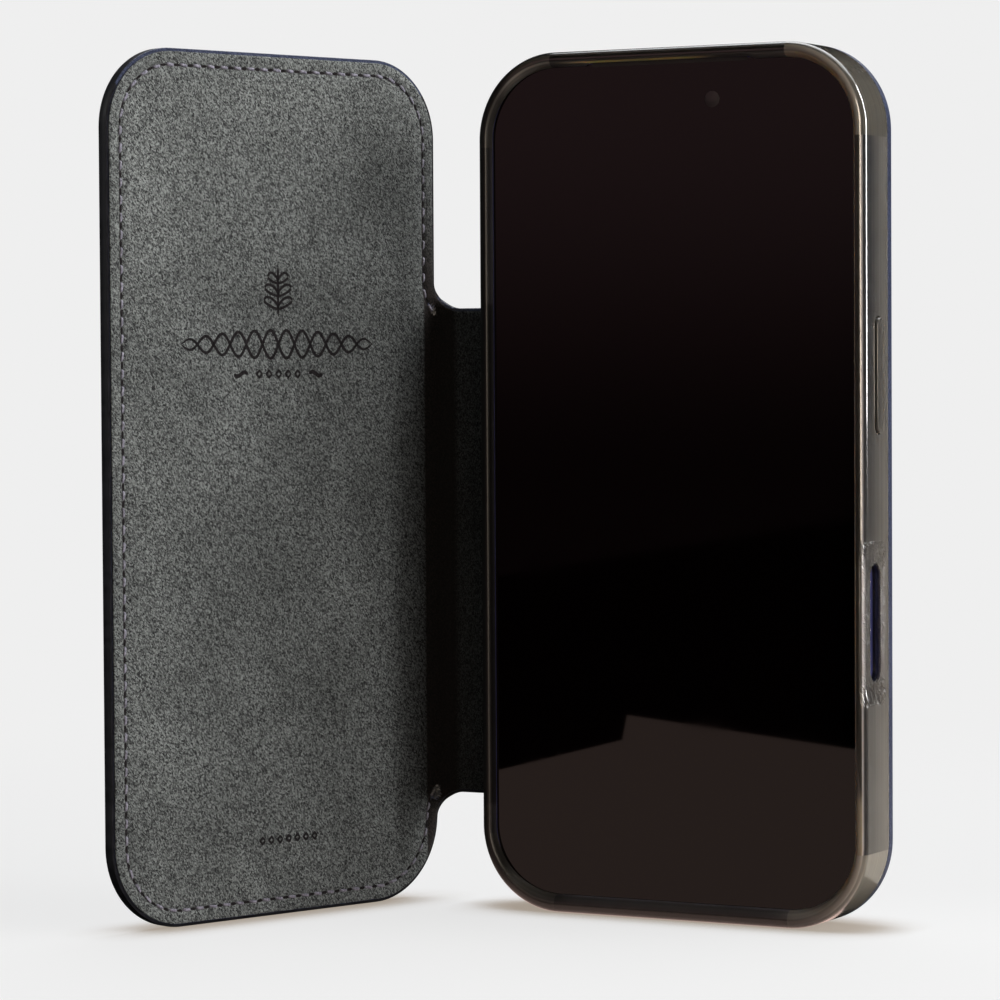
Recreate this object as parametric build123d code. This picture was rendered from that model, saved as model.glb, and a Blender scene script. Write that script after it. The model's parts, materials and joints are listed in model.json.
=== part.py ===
"""Folio phone case, standing open, with the phone that it holds.

A soft translucent bumper frame holds the phone, and a hard plate closes its back. One leather skin covers the
plate, forms the spine at the left edge and carries on as the front cover. The spine folds where it leaves the
back and again where it meets the cover. Moulded pads in the frame press the phone's side keys.

Frame of the part, in millimetres: +X to the right as the screen is seen, +Y towards the leather back, +Z up.
The origin is the centre of the charging opening, in the bottom face of the frame.
"""

import os

from build123d import *

# ---------------------------------------------------------------- phone
PHONE_W, PHONE_H, PHONE_D = 71.9, 150.0, 8.75
PHONE_R, PHONE_EDGE, PHONE_BACK_EDGE = 13.3, 0.4, 1.2
GLASS_INSET, GLASS_T = 0.45, 0.9
BACK_GLASS_W, BACK_GLASS_H, BACK_GLASS_R, BACK_GLASS_T = 62.0, 92.0, 8.0, 0.6
BACK_GLASS_Z = 60.0
BATTERY_W, BATTERY_H, BATTERY_R, BATTERY_T, BATTERY_DROP = 60.0, 104.0, 4.0, 4.1, 16.0
PLATEAU_W, PLATEAU_H, PLATEAU_R, PLATEAU_T = 60.0, 32.0, 9.5, 1.5
LENS_R, LENS_RIM, LENS_SPACING = 6.6, 1.0, 18.5
LENS_RING_RISE, LENS_GLASS_RISE = 0.9, 0.6
FRONT_CAMERA_X, FRONT_CAMERA_Z, FRONT_CAMERA_R = 8.3, 144.5, 1.45
SOCKET_W, SOCKET_D, SOCKET_DEPTH = 9.0, 3.2, 6.0

# ---------------------------------------------------------------- bumper frame and back
SLIP = 0.05
WALL = 1.9
LIP_RISE = 1.8
LINING_T, PLATE_T, BACK_LEATHER_T = 0.3, 0.8, 0.7

BAY_W, BAY_H, BAY_R = PHONE_W + 2 * SLIP, PHONE_H + 2 * SLIP, PHONE_R + SLIP
CASE_W, CASE_H, CASE_R = BAY_W + 2 * WALL, BAY_H + 2 * WALL, BAY_R + WALL
MID_Z = CASE_H / 2

Y_GLASS = -PHONE_D / 2
Y_LIP = Y_GLASS - LIP_RISE
Y_LINING = PHONE_D / 2 + SLIP
Y_PLATE = Y_LINING + LINING_T
Y_SKIN = Y_PLATE + PLATE_T
Y_BACK = Y_SKIN + BACK_LEATHER_T
Y_LEATHER_EDGE = 4.1
REBATE = 0.8
LIP_ROUND, LEATHER_ROUND = 1.1, 0.6

LIP_SIDE, LIP_TOP, LIP_BOTTOM, LIP_BEVEL = 0.4, 0.8, 1.3, 0.3
EARPIECE_W, EARPIECE_H, EARPIECE_RISE = 31.0, 4.0, 0.5

CUSHION_T, CUSHION_D = 0.9, 7.2

# ---------------------------------------------------------------- openings in the frame
PORT_W, PORT_D = 13.5, 6.0
SPEAKER_X, SPEAKER_W, SPEAKER_D = 15.5, 12.0, 2.6
CAPTURE_Y, CAPTURE_Z, CAPTURE_L, CAPTURE_D = -0.6, 53.4, 20.6, 4.3
SCOOP_L, SCOOP_RAMP, SCOOP_DEPTH, SCOOP_BACK = 28.0, 4.0, 0.5, 2.4
WINDOW_W, WINDOW_H, WINDOW_R, WINDOW_Z = 66.0, 38.0, 12.0, 130.5
SURROUND_W, SURROUND_RISE, SURROUND_ROUND = 1.5, 1.3, 0.5

# ---------------------------------------------------------------- side pads and the keys behind them
PAD_D, PAD_RISE, PAD_ROUND, PAD_SLIT, PAD_TRAVEL = 2.8, 0.5, 0.35, 0.15, 0.35
FLANGE, FLANGE_T = 0.8, 0.6
NUB_INSET, NUB_D = 2.1, 1.6
KEY_T, KEY_D, KEY_INSET, KEY_GAP = 1.0, 2.2, 1.6, 0.05
CAPTURE_KEY_L, CAPTURE_KEY_D = 18.0, 3.2
RIGHT, LEFT = 1, -1
# name, side, height of the centre, length of the pad
PADS = (
    ("power", RIGHT, 96.1, 20.0),
    ("volume_up", LEFT, 124.5, 9.0),
    ("volume_down", LEFT, 113.4, 9.0),
    ("action", LEFT, 134.3, 6.4),
)

# ---------------------------------------------------------------- magnets in the back plate
RING_Z, RING_OUTER, RING_INNER, MAGNET_T = 77.0, 27.5, 23.2, 0.55
RING_COUNT, RING_GAP_DEG = 16, 1.6
BAR_W, BAR_H, BAR_R, BAR_BELOW_RING = 4.5, 12.0, 0.6, 10.0

# ---------------------------------------------------------------- spine and cover
SPINE_FOLD_X, COVER_FOLD_X, COVER_FOLD_Y = -40.66, -55.05, Y_BACK - 0.8
REST_FOLD_DEG = 71.4
SPINE_LOW, SPINE_HIGH = 19.4, 108.7
SPINE_T, SPINE_LINING_T, STIFFENER_T, STIFFENER_INSET = 1.1, 0.4, 0.25, 1.0
SPINE_START, SPINE_END = 1.6, 1.5
FLARE_LOW, FLARE_HIGH = 5.0, 4.7
COVER_W, COVER_H, COVER_R = 74.8, 153.8, 14.2
COVER_T, COVER_LINING_T, BOARD_T, BOARD_INSET = 2.2, 0.5, 0.6, 2.0
COVER_LAP, COVER_NOTCH, COVER_ROUND = 0.79, 0.9, 0.35
SEAM_INSET, THREAD_W, THREAD_T = 2.5, 0.45, 0.15

FAR = 200.0
TINY = 0.01


def slab(width, height, radius, y_front, y_back, x=0.0, z=MID_Z):
    """An upright rounded rectangle, from y_front back to y_back."""
    face = Plane.XZ.offset(-y_back) * Pos(x, z) * RectangleRounded(width, height, radius)
    return extrude(face, amount=y_back - y_front)


def block(x0, x1, y0, y1, z0, z1):
    """A plain box between two corners."""
    return Pos((x0 + x1) / 2, (y0 + y1) / 2, (z0 + z1) / 2) * Box(x1 - x0, y1 - y0, z1 - z0)


def side_bar(side, length, depth, x0, x1, z, y=0.0):
    """A round-ended bar through a side wall: length up Z, depth along Y, x0 and x1 out from the middle."""
    face = Plane.YZ.offset(x0) * Pos(y, z) * Rot(0, 0, 90) * SlotOverall(length, depth)
    bar = extrude(face, amount=x1 - x0)
    return bar if side == RIGHT else mirror(bar, about=Plane.YZ)


def base_bar(width, depth, z0, z1, x=0.0):
    """A round-ended bar through the bottom wall, between two heights."""
    face = Plane.XY.offset(z0) * Pos(x, 0) * SlotOverall(width, depth)
    return extrude(face, amount=z1 - z0)


def disc(radius, y0, y1, x, z):
    """A round disc that faces along Y."""
    return Pos(x, (y0 + y1) / 2, z) * Rot(90, 0, 0) * Cylinder(radius, y1 - y0)


def round_face_at_y(shape, y, radius):
    """Rounds the edges that lie wholly in the plane at that y."""
    return fillet(shape.edges().filter_by_position(Axis.Y, y - TINY, y + TINY), radius)


def fold_to_rest(shape):
    """Turns a flat-laid cover piece about the cover fold, to the angle at which it stands."""
    return shape.rotate(Axis((COVER_FOLD_X, COVER_FOLD_Y, 0), (0, 0, 1)), REST_FOLD_DEG)


# ================================================================ the case body
def camera_window(y_front, y_back, shrink=0.0):
    width, height, radius = WINDOW_W - 2 * shrink, WINDOW_H - 2 * shrink, WINDOW_R - shrink
    return slab(width, height, radius, y_front, y_back, z=WINDOW_Z)


def cushion_layer():
    """The layer just outside the bay, from which the corner cushions are cut."""
    half = CUSHION_D / 2
    grown = slab(BAY_W + 2 * CUSHION_T, BAY_H + 2 * CUSHION_T, BAY_R + CUSHION_T, -half, half)
    return grown - slab(BAY_W, BAY_H, BAY_R, -CUSHION_D, CUSHION_D)


def corner_cushion(side, top):
    """A quarter-round shock pad, let into the inside of one frame corner."""
    near = side * (CASE_W / 2 - CASE_R)
    low, high = (CASE_H - CASE_R, FAR) if top else (-FAR, CASE_R)
    corner = block(min(near, side * FAR), max(near, side * FAR), -CUSHION_D, CUSHION_D, low, high)
    return cushion_layer() & corner


def scoop():
    """The ramped hollow around the capture slot, which guides a fingertip."""
    outside, floor, half = CASE_W / 2, CASE_W / 2 - SCOOP_DEPTH, SCOOP_L / 2
    outline = Polyline(
        (outside + 1, CAPTURE_Z - half),
        (outside, CAPTURE_Z - half),
        (floor, CAPTURE_Z - half + SCOOP_RAMP),
        (floor, CAPTURE_Z + half - SCOOP_RAMP),
        (outside, CAPTURE_Z + half),
        (outside + 1, CAPTURE_Z + half),
        close=True,
    )
    face = Plane.XZ.offset(-SCOOP_BACK) * make_face(outline)
    return extrude(face, amount=SCOOP_BACK - Y_LIP + 1)


def pad_recess(side, z, length):
    """What a pad needs from the frame: its window, and the pocket that its flange moves in."""
    inner, outer = BAY_W / 2, CASE_W / 2
    window = side_bar(side, length + 2 * PAD_SLIT, PAD_D + 2 * PAD_SLIT, inner - 1, outer + 2, z)
    grow = 2 * (FLANGE + PAD_SLIT)
    depth = PAD_TRAVEL + FLANGE_T + 2 * SLIP
    return window + side_bar(side, length + grow, PAD_D + grow, inner - 1, inner + depth, z)


def bumper_frame():
    body = round_face_at_y(slab(CASE_W, CASE_H, CASE_R, Y_LIP, Y_LEATHER_EDGE), Y_LIP, LIP_ROUND)
    body += slab(BAY_W + 2 * REBATE, BAY_H + 2 * REBATE, BAY_R + REBATE, Y_LEATHER_EDGE, Y_PLATE)
    body -= slab(BAY_W, BAY_H, BAY_R, Y_LIP - 1, Y_PLATE + 1)
    for side in (LEFT, RIGHT):
        body -= corner_cushion(side, True)
        body -= corner_cushion(side, False)
        body -= base_bar(SPEAKER_W, SPEAKER_D, -1, WALL + 1, x=side * SPEAKER_X)
    body -= base_bar(PORT_W, PORT_D, -1, WALL + 1)
    body -= scoop()
    body -= side_bar(RIGHT, CAPTURE_L, CAPTURE_D, BAY_W / 2 - 1, CASE_W / 2 + 1, CAPTURE_Z, CAPTURE_Y)
    for _, side, z, length in PADS:
        body -= pad_recess(side, z, length)
    return body


def lip_opening(y, grow):
    """The opening that the lip leaves around the screen, in the plane at y."""
    width, height = BAY_W - 2 * LIP_SIDE, BAY_H - LIP_TOP - LIP_BOTTOM
    z = MID_Z + (LIP_BOTTOM - LIP_TOP) / 2
    outline = RectangleRounded(width + 2 * grow, height + 2 * grow, BAY_R - LIP_SIDE - LIP_BEVEL + grow)
    return Plane.XZ.offset(-y) * Pos(0, z) * outline


def screen_lip():
    """The soft edge that laps the phone's front and springs aside as the phone is pushed in."""
    y_under = Y_GLASS - SLIP
    lip = slab(BAY_W, BAY_H, BAY_R, Y_LIP, y_under)
    lip -= loft([lip_opening(Y_LIP, LIP_BEVEL), lip_opening(y_under, 0.0)])
    relief_z = CASE_H - WALL - LIP_TOP + EARPIECE_RISE - EARPIECE_H / 2
    return lip - slab(EARPIECE_W, EARPIECE_H, EARPIECE_RISE, Y_LIP - 1, Y_LIP + LIP_RISE, z=relief_z)


def side_pad(side, z, length):
    """A pad with its raised face outside, a flange behind the wall and a nub that reaches the phone's key."""
    inner, crown = BAY_W / 2, CASE_W / 2 + PAD_RISE
    flange_at = inner + PAD_TRAVEL + SLIP
    face = side_bar(side, length, PAD_D, flange_at, crown, z)
    rim = face.edges().filter_by_position(Axis.X, side * crown - TINY, side * crown + TINY)
    face = fillet(rim, PAD_ROUND)
    flange = side_bar(side, length + 2 * FLANGE, PAD_D + 2 * FLANGE, flange_at, flange_at + FLANGE_T, z)
    nub = side_bar(side, length - 2 * NUB_INSET, NUB_D, inner, flange_at, z)
    return face + flange + nub


def alignment_magnet(y_front=Y_SKIN - MAGNET_T, grow=0.0):
    """The bar magnet below the ring, which keeps an accessory upright."""
    z = RING_Z - RING_OUTER - BAR_BELOW_RING
    return slab(BAR_W + 2 * grow, BAR_H + 2 * grow, BAR_R, y_front, Y_SKIN, z=z)


def magnet_pocket():
    y_front = Y_SKIN - MAGNET_T - SLIP
    ring = disc(RING_OUTER + SLIP, y_front, Y_SKIN, 0, RING_Z)
    ring -= disc(RING_INNER - SLIP, y_front - 1, Y_SKIN + 1, 0, RING_Z)
    return ring + alignment_magnet(y_front, SLIP)


def magnet_ring():
    """Arc magnets, side by side in a ring."""
    pitch = 360 / RING_COUNT
    reach = Vector(2 * RING_OUTER, 0, 0)
    wedge = make_face(Polyline((0, 0, 0), reach, reach.rotate(Axis.Z, pitch - RING_GAP_DEG), close=True))
    arc = Cylinder(RING_OUTER, MAGNET_T) - Cylinder(RING_INNER, MAGNET_T)
    arc &= extrude(wedge, amount=MAGNET_T, both=True)
    place = Pos(0, Y_SKIN - MAGNET_T / 2, RING_Z) * Rot(90, 0, 0)
    return Compound([(place * Rot(0, 0, i * pitch) * arc).solid() for i in range(RING_COUNT)])


def back_plate():
    plate = slab(BAY_W + 2 * REBATE, BAY_H + 2 * REBATE, BAY_R + REBATE, Y_PLATE, Y_SKIN)
    return plate - camera_window(Y_PLATE - 1, Y_SKIN + 1) - magnet_pocket()


def bay_lining():
    return slab(BAY_W, BAY_H, BAY_R, Y_LINING, Y_PLATE) - camera_window(Y_LINING - 1, Y_PLATE + 1)


def back_leather():
    """The skin over the plate, turned down over the plate's edge to meet the frame."""
    skin = round_face_at_y(slab(CASE_W, CASE_H, CASE_R, Y_LEATHER_EDGE, Y_BACK), Y_BACK, LEATHER_ROUND)
    skin -= slab(BAY_W + 2 * REBATE, BAY_H + 2 * REBATE, BAY_R + REBATE, Y_LEATHER_EDGE - 1, Y_SKIN)
    return skin - camera_window(Y_SKIN - 1, Y_BACK + 1)


def camera_surround():
    """The raised ring that lines the window in the back and stands clear of the lenses."""
    y_top = Y_BACK + SURROUND_RISE
    ring = camera_window(Y_PLATE, y_top) - camera_window(Y_PLATE - 1, y_top + 1, SURROUND_W)
    return round_face_at_y(ring, y_top, SURROUND_ROUND)


# ================================================================ the spine
def flare(z, way, radius, y_front, y_back):
    """The concave corner where the spine's top or bottom edge sweeps out to the cover."""
    x1, z1 = COVER_FOLD_X + radius, z + way * radius
    square = block(COVER_FOLD_X, x1, y_front, y_back, min(z, z1), max(z, z1))
    return square - disc(radius, y_front - 1, y_back + 1, x1, z1)


def both_flares(y_front, y_back):
    upper = flare(SPINE_HIGH, 1, FLARE_HIGH, y_front, y_back)
    return upper + flare(SPINE_LOW, -1, FLARE_LOW, y_front, y_back)


def spine_slab(y_front, y_back, inset=0.0):
    """The spine's outline between two depths, with its flares where it isn't inset."""
    x0 = COVER_FOLD_X + SPINE_END + inset
    x1 = SPINE_FOLD_X - SPINE_START - inset
    body = block(x0, x1, y_front, y_back, SPINE_LOW + inset, SPINE_HIGH - inset)
    if inset:
        return body
    return body + (both_flares(y_front, y_back) & block(x0, x1, y_front, y_back, -FAR, FAR))


Y_SPINE = Y_BACK - SPINE_T
Y_SPINE_SKIN = Y_SPINE + SPINE_LINING_T


def spine_stiffener():
    return spine_slab(Y_SPINE_SKIN, Y_SPINE_SKIN + STIFFENER_T, inset=STIFFENER_INSET)


def spine_leather():
    return spine_slab(Y_SPINE_SKIN, Y_BACK) - spine_stiffener()


def spine_lining():
    return spine_slab(Y_SPINE, Y_SPINE_SKIN)


def spine_thread():
    """A row of thread along the spine's top edge and one along its bottom edge, on the lining."""
    x0, x1 = COVER_FOLD_X + SPINE_END, SPINE_FOLD_X - SPINE_START
    heights = (SPINE_LOW + SEAM_INSET, SPINE_HIGH - SEAM_INSET)
    half = THREAD_W / 2
    return Compound([block(x0, x1, Y_SPINE - THREAD_T, Y_SPINE, z - half, z + half).solid() for z in heights])


def back_fold():
    """The thin strip of the skin that flexes between the back and the spine."""
    return block(SPINE_FOLD_X - SPINE_START, -CASE_W / 2, Y_SPINE, Y_BACK, SPINE_LOW, SPINE_HIGH)


def cover_fold():
    """The thin strip that flexes between the spine and the cover, bent at rest round its fold line."""
    low, high = SPINE_LOW - FLARE_LOW, SPINE_HIGH + FLARE_HIGH
    x1 = COVER_FOLD_X + SPINE_END
    spine_side = block(COVER_FOLD_X, x1, Y_SPINE, Y_BACK, SPINE_LOW, SPINE_HIGH)
    spine_side += both_flares(Y_SPINE, Y_BACK) & block(COVER_FOLD_X, x1, Y_SPINE, Y_BACK, low, high)
    cover_side = fold_to_rest(block(COVER_FOLD_X - COVER_NOTCH, COVER_FOLD_X, Y_SPINE, Y_BACK, low, high))
    roll = Pos(COVER_FOLD_X, COVER_FOLD_Y, (low + high) / 2) * Cylinder(Y_BACK - COVER_FOLD_Y, high - low)
    return spine_side + cover_side + (roll & block(-FAR, COVER_FOLD_X, -FAR, FAR, -FAR, FAR))


# ================================================================ the cover
Y_COVER = Y_BACK - COVER_T
Y_COVER_SKIN = Y_COVER + COVER_LINING_T


def cover_slab(y_front, y_back, inset=0.0):
    """The cover's outline laid flat beside the spine."""
    x = COVER_FOLD_X + COVER_LAP - COVER_W / 2
    width, height, radius = COVER_W - 2 * inset, COVER_H - 2 * inset, COVER_R - inset
    return slab(width, height, radius, y_front, y_back, x=x, z=COVER_H / 2 + SLIP)


def fold_notch(inset=0.0):
    """The room that the cover leaves for the strip that joins it to the spine."""
    low, high = SPINE_LOW - FLARE_LOW - inset, SPINE_HIGH + FLARE_HIGH + inset
    return block(COVER_FOLD_X - COVER_NOTCH - inset, FAR, -FAR, FAR, low, high)


def cover_board():
    board = cover_slab(Y_COVER_SKIN, Y_COVER_SKIN + BOARD_T, BOARD_INSET)
    return fold_to_rest(board - fold_notch(BOARD_INSET))


def cover_leather():
    skin = round_face_at_y(cover_slab(Y_COVER_SKIN, Y_BACK), Y_BACK, COVER_ROUND) - fold_notch()
    board = cover_slab(Y_COVER_SKIN - 1, Y_COVER_SKIN + BOARD_T, BOARD_INSET) - fold_notch(BOARD_INSET)
    return fold_to_rest(skin - board)


def cover_lining():
    return fold_to_rest(cover_slab(Y_COVER, Y_COVER_SKIN) - fold_notch())


def cover_thread():
    """The seam that runs round the cover, lying on the lining."""
    outside, inside = SEAM_INSET - THREAD_W / 2, SEAM_INSET + THREAD_W / 2
    outer = cover_slab(Y_COVER - THREAD_T, Y_COVER, outside) - fold_notch(outside)
    return fold_to_rest(outer - (cover_slab(-FAR, FAR, inside) - fold_notch(inside)))


# ================================================================ the phone
def flush_key(side, length, depth, z, y=0.0):
    """A key that sits flush in the phone's side."""
    half = PHONE_W / 2
    return side_bar(side, length, depth, half - KEY_T, half, z, y)


def key_pocket(side, length, depth, z, y=0.0):
    half = PHONE_W / 2
    floor = half - KEY_T - PAD_TRAVEL - KEY_GAP
    return side_bar(side, length + 2 * KEY_GAP, depth + 2 * KEY_GAP, floor, half + 1, z, y)


def glass_outline(y_front, y_back):
    width, height = PHONE_W - 2 * GLASS_INSET, PHONE_H - 2 * GLASS_INSET
    return slab(width, height, PHONE_R - GLASS_INSET, y_front, y_back)


def phone_front_camera():
    return disc(FRONT_CAMERA_R, Y_GLASS, Y_GLASS + GLASS_T, FRONT_CAMERA_X, FRONT_CAMERA_Z)


def phone_display_glass():
    return glass_outline(Y_GLASS, Y_GLASS + GLASS_T) - phone_front_camera()


def phone_back_glass():
    back = PHONE_D / 2
    return slab(BACK_GLASS_W, BACK_GLASS_H, BACK_GLASS_R, back - BACK_GLASS_T, back, z=BACK_GLASS_Z)


def phone_battery():
    y_front = Y_GLASS + GLASS_T
    return slab(BATTERY_W, BATTERY_H, BATTERY_R, y_front, y_front + BATTERY_T, z=MID_Z - BATTERY_DROP)


def phone_chassis():
    back = PHONE_D / 2
    body = slab(PHONE_W, PHONE_H, PHONE_R, Y_GLASS, back)
    body = round_face_at_y(round_face_at_y(body, Y_GLASS, PHONE_EDGE), back, PHONE_BACK_EDGE)
    body -= glass_outline(Y_GLASS - 1, Y_GLASS + GLASS_T)
    body -= phone_battery()
    body -= phone_back_glass()
    body -= base_bar(SOCKET_W, SOCKET_D, 0, WALL + SLIP + SOCKET_DEPTH)
    for _, side, z, length in PADS:
        body -= key_pocket(side, length - 2 * KEY_INSET, KEY_D, z)
    return body - key_pocket(RIGHT, CAPTURE_KEY_L, CAPTURE_KEY_D, CAPTURE_Z, CAPTURE_Y)


def lens_positions():
    return [-LENS_SPACING, 0.0, LENS_SPACING]


def phone_camera_plateau():
    back, top = PHONE_D / 2, PHONE_D / 2 + PLATEAU_T
    plateau = slab(PLATEAU_W, PLATEAU_H, PLATEAU_R, back, top, z=WINDOW_Z)
    plateau = round_face_at_y(plateau, top, SURROUND_ROUND)
    for x in lens_positions():
        plateau -= disc(LENS_R, back - 1, top + 1, x, WINDOW_Z)
    return plateau


def phone_lens_rings():
    back, top = PHONE_D / 2, PHONE_D / 2 + PLATEAU_T + LENS_RING_RISE
    rings = [
        disc(LENS_R, back, top, x, WINDOW_Z) - disc(LENS_R - LENS_RIM, back - 1, top + 1, x, WINDOW_Z)
        for x in lens_positions()
    ]
    return Compound([ring.solid() for ring in rings])


def phone_lens_glass():
    back, top = PHONE_D / 2, PHONE_D / 2 + PLATEAU_T + LENS_GLASS_RISE
    return Compound([disc(LENS_R - LENS_RIM, back, top, x, WINDOW_Z).solid() for x in lens_positions()])


# ================================================================ writing the sub-parts
def build():
    nodes = {
        "bumper_frame": bumper_frame(),
        "screen_lip": screen_lip(),
        "back_plate": back_plate(),
        "bay_lining": bay_lining(),
        "back_leather": back_leather(),
        "camera_surround": camera_surround(),
        "magnet_ring": magnet_ring(),
        "alignment_magnet": alignment_magnet(),
        "back_fold": back_fold(),
        "spine_leather": spine_leather(),
        "spine_stiffener": spine_stiffener(),
        "spine_lining": spine_lining(),
        "spine_thread": spine_thread(),
        "cover_fold": cover_fold(),
        "cover_leather": cover_leather(),
        "cover_board": cover_board(),
        "cover_lining": cover_lining(),
        "cover_thread": cover_thread(),
        "phone_chassis": phone_chassis(),
        "phone_battery": phone_battery(),
        "phone_display_glass": phone_display_glass(),
        "phone_back_glass": phone_back_glass(),
        "phone_front_camera": phone_front_camera(),
        "phone_camera_plateau": phone_camera_plateau(),
        "phone_lens_rings": phone_lens_rings(),
        "phone_lens_glass": phone_lens_glass(),
        "phone_capture_key": flush_key(RIGHT, CAPTURE_KEY_L, CAPTURE_KEY_D, CAPTURE_Z, CAPTURE_Y),
    }
    for side, side_name in ((LEFT, "left"), (RIGHT, "right")):
        nodes[f"corner_cushion_top_{side_name}"] = corner_cushion(side, True)
        nodes[f"corner_cushion_bottom_{side_name}"] = corner_cushion(side, False)
    for name, side, z, length in PADS:
        nodes[f"{name}_pad"] = side_pad(side, z, length)
        nodes[f"phone_{name}_key"] = flush_key(side, length - 2 * KEY_INSET, KEY_D, z)
    return nodes


os.makedirs("parts", exist_ok=True)
for node_name, shape in build().items():
    export_step(shape, f"parts/{node_name}.step")
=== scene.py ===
"""Looks for the folio phone case: leather, microfibre, stitching, the smoky bumper and the phone in it."""

import json
import math
import random

import bmesh
import bpy
import numpy as np
from mathutils import Matrix, Vector, geometry


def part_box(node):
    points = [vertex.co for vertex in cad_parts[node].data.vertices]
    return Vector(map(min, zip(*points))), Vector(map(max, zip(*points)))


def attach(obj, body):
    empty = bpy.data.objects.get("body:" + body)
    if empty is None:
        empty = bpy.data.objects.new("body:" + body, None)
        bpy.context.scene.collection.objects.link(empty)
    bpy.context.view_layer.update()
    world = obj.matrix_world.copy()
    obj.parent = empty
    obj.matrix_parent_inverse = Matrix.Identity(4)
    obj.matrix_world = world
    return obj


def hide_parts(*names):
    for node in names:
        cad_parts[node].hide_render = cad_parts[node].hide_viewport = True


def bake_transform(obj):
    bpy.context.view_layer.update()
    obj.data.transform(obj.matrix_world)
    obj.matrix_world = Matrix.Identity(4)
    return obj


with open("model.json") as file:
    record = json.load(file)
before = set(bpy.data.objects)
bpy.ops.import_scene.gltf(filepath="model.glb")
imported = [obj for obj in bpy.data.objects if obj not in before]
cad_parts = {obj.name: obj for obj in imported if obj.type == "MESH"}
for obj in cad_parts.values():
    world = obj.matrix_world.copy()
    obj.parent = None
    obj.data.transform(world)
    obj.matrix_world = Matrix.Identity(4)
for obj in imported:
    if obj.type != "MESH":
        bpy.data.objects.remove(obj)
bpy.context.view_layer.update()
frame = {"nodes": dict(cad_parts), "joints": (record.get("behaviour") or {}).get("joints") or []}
MM = 0.001
SEED = 7

JOINTS = {joint["name"]: joint for joint in frame["joints"]}


def millimetres(node):
    low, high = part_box(node)
    return np.array(low) / MM, np.array(high) / MM


def hinge_xy(name):
    return np.array(JOINTS[name]["pos_m"][:2]) / MM


# ---------------------------------------------------------------- sizes in millimetres, from the frame
FRAME_LOW, FRAME_HIGH = millimetres("bumper_frame")
SKIN_LOW, SKIN_HIGH = millimetres("back_leather")
SPINE_BOX_LOW, SPINE_BOX_HIGH = millimetres("back_fold")
CASE_HALF, CASE_H = FRAME_HIGH[0], FRAME_HIGH[2]
Y_LIP, Y_EDGE, Y_BACK = FRAME_LOW[1], SKIN_LOW[1], SKIN_HIGH[1]
Y_GLASS = millimetres("phone_display_glass")[0][1]
SPINE_LOW, SPINE_HIGH = SPINE_BOX_LOW[2], SPINE_BOX_HIGH[2]
SPINE_T = SPINE_BOX_HIGH[1] - SPINE_BOX_LOW[1]
SPINE_HINGE, COVER_HINGE = hinge_xy("spine_swing"), hinge_xy("cover_swing")

# The frame gives boxes only. These are the CAD's radii and slot, and where the gel corners begin.
CASE_R = 15.25
BAY_R, WINDOW_R = 13.35, 12.0
SEAM_X, CORNER_LOW, CORNER_HIGH = 23.0, 13.6, 137.3
SLOT_Y, SLOT_Z, SLOT_L, SLOT_D = -0.6, 53.4, 20.6, 4.3

# The cover at rest. Its width, lower corners and painted edge's thickness were fitted to the photo.
REST_ANGLE = math.radians(JOINTS["cover_swing"]["range_deg"][1])
COVER_ALONG = np.array([-math.cos(REST_ANGLE), -math.sin(REST_ANGLE)])
COVER_INWARD = np.array([math.sin(REST_ANGLE), -math.cos(REST_ANGLE)])
COVER_T, COVER_W, COVER_H, COVER_R, COVER_LAP = 2.2, 75.2, 153.8, 14.2, 0.79
COVER_LOW_R = 15.0
EDGE_T = 2.4
SCOOP_HALF, SCOOP_RAMP, SCOOP_DEPTH = 14.0, 3.6, 0.35
COVER_LOW = millimetres("cover_leather")[0][2]
HINGE_BEHIND_LINING = COVER_T - (Y_BACK - COVER_HINGE[1])
COVER_NEAR = COVER_HINGE + HINGE_BEHIND_LINING * COVER_INWARD - COVER_LAP * COVER_ALONG
FLARE_LOW, FLARE_HIGH = 5.0, 4.7


# ---------------------------------------------------------------- mesh helpers
def smooth(edge0, edge1, x):
    t = np.clip((np.asarray(x, float) - edge0) / (edge1 - edge0), 0.0, 1.0)
    return t * t * (3 - 2 * t)


def make_object(name, vertices, faces, materials, face_materials=None, smooth_angle=40):
    """A mesh object from points in millimetres."""
    mesh = bpy.data.meshes.new(name)
    points = np.asarray(vertices, float) * MM
    mesh.from_pydata([tuple(p) for p in points], [], [tuple(f) for f in faces])
    for material in materials:
        mesh.materials.append(material)
    if face_materials is not None:
        mesh.polygons.foreach_set("material_index", np.asarray(face_materials, np.int32))
    mesh.polygons.foreach_set("use_smooth", np.ones(len(mesh.polygons), bool))
    mesh.update()
    obj = bpy.data.objects.new(name, mesh)
    bpy.context.scene.collection.objects.link(obj)
    recalculate_normals(obj)
    mesh.set_sharp_from_angle(angle=math.radians(smooth_angle))
    return obj


def recalculate_normals(obj):
    work = bmesh.new()
    work.from_mesh(obj.data)
    bmesh.ops.recalc_face_normals(work, faces=work.faces)
    work.to_mesh(obj.data)
    work.free()


def difference(obj, cutter):
    """Cuts one solid from another for good."""
    modifier = obj.modifiers.new("cut", "BOOLEAN")
    modifier.operation = "DIFFERENCE"
    modifier.solver = "EXACT"
    modifier.object = cutter
    depsgraph = bpy.context.evaluated_depsgraph_get()
    mesh = bpy.data.meshes.new_from_object(obj.evaluated_get(depsgraph))
    obj.modifiers.clear()
    old, obj.data = obj.data, mesh
    bpy.data.meshes.remove(old)
    bpy.data.objects.remove(cutter)


def join_rings(a, b):
    """Faces between two closed rings of point numbers."""
    count = len(a)
    return [(a[i], a[(i + 1) % count], b[(i + 1) % count], b[i]) for i in range(count)]


def line_points(start, end, step):
    """Points from start up to but not including end, about a step apart."""
    start, end = np.asarray(start, float), np.asarray(end, float)
    count = max(1, int(round(np.linalg.norm(end - start) / step)))
    return [start + (end - start) * i / count for i in range(count)]


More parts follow.
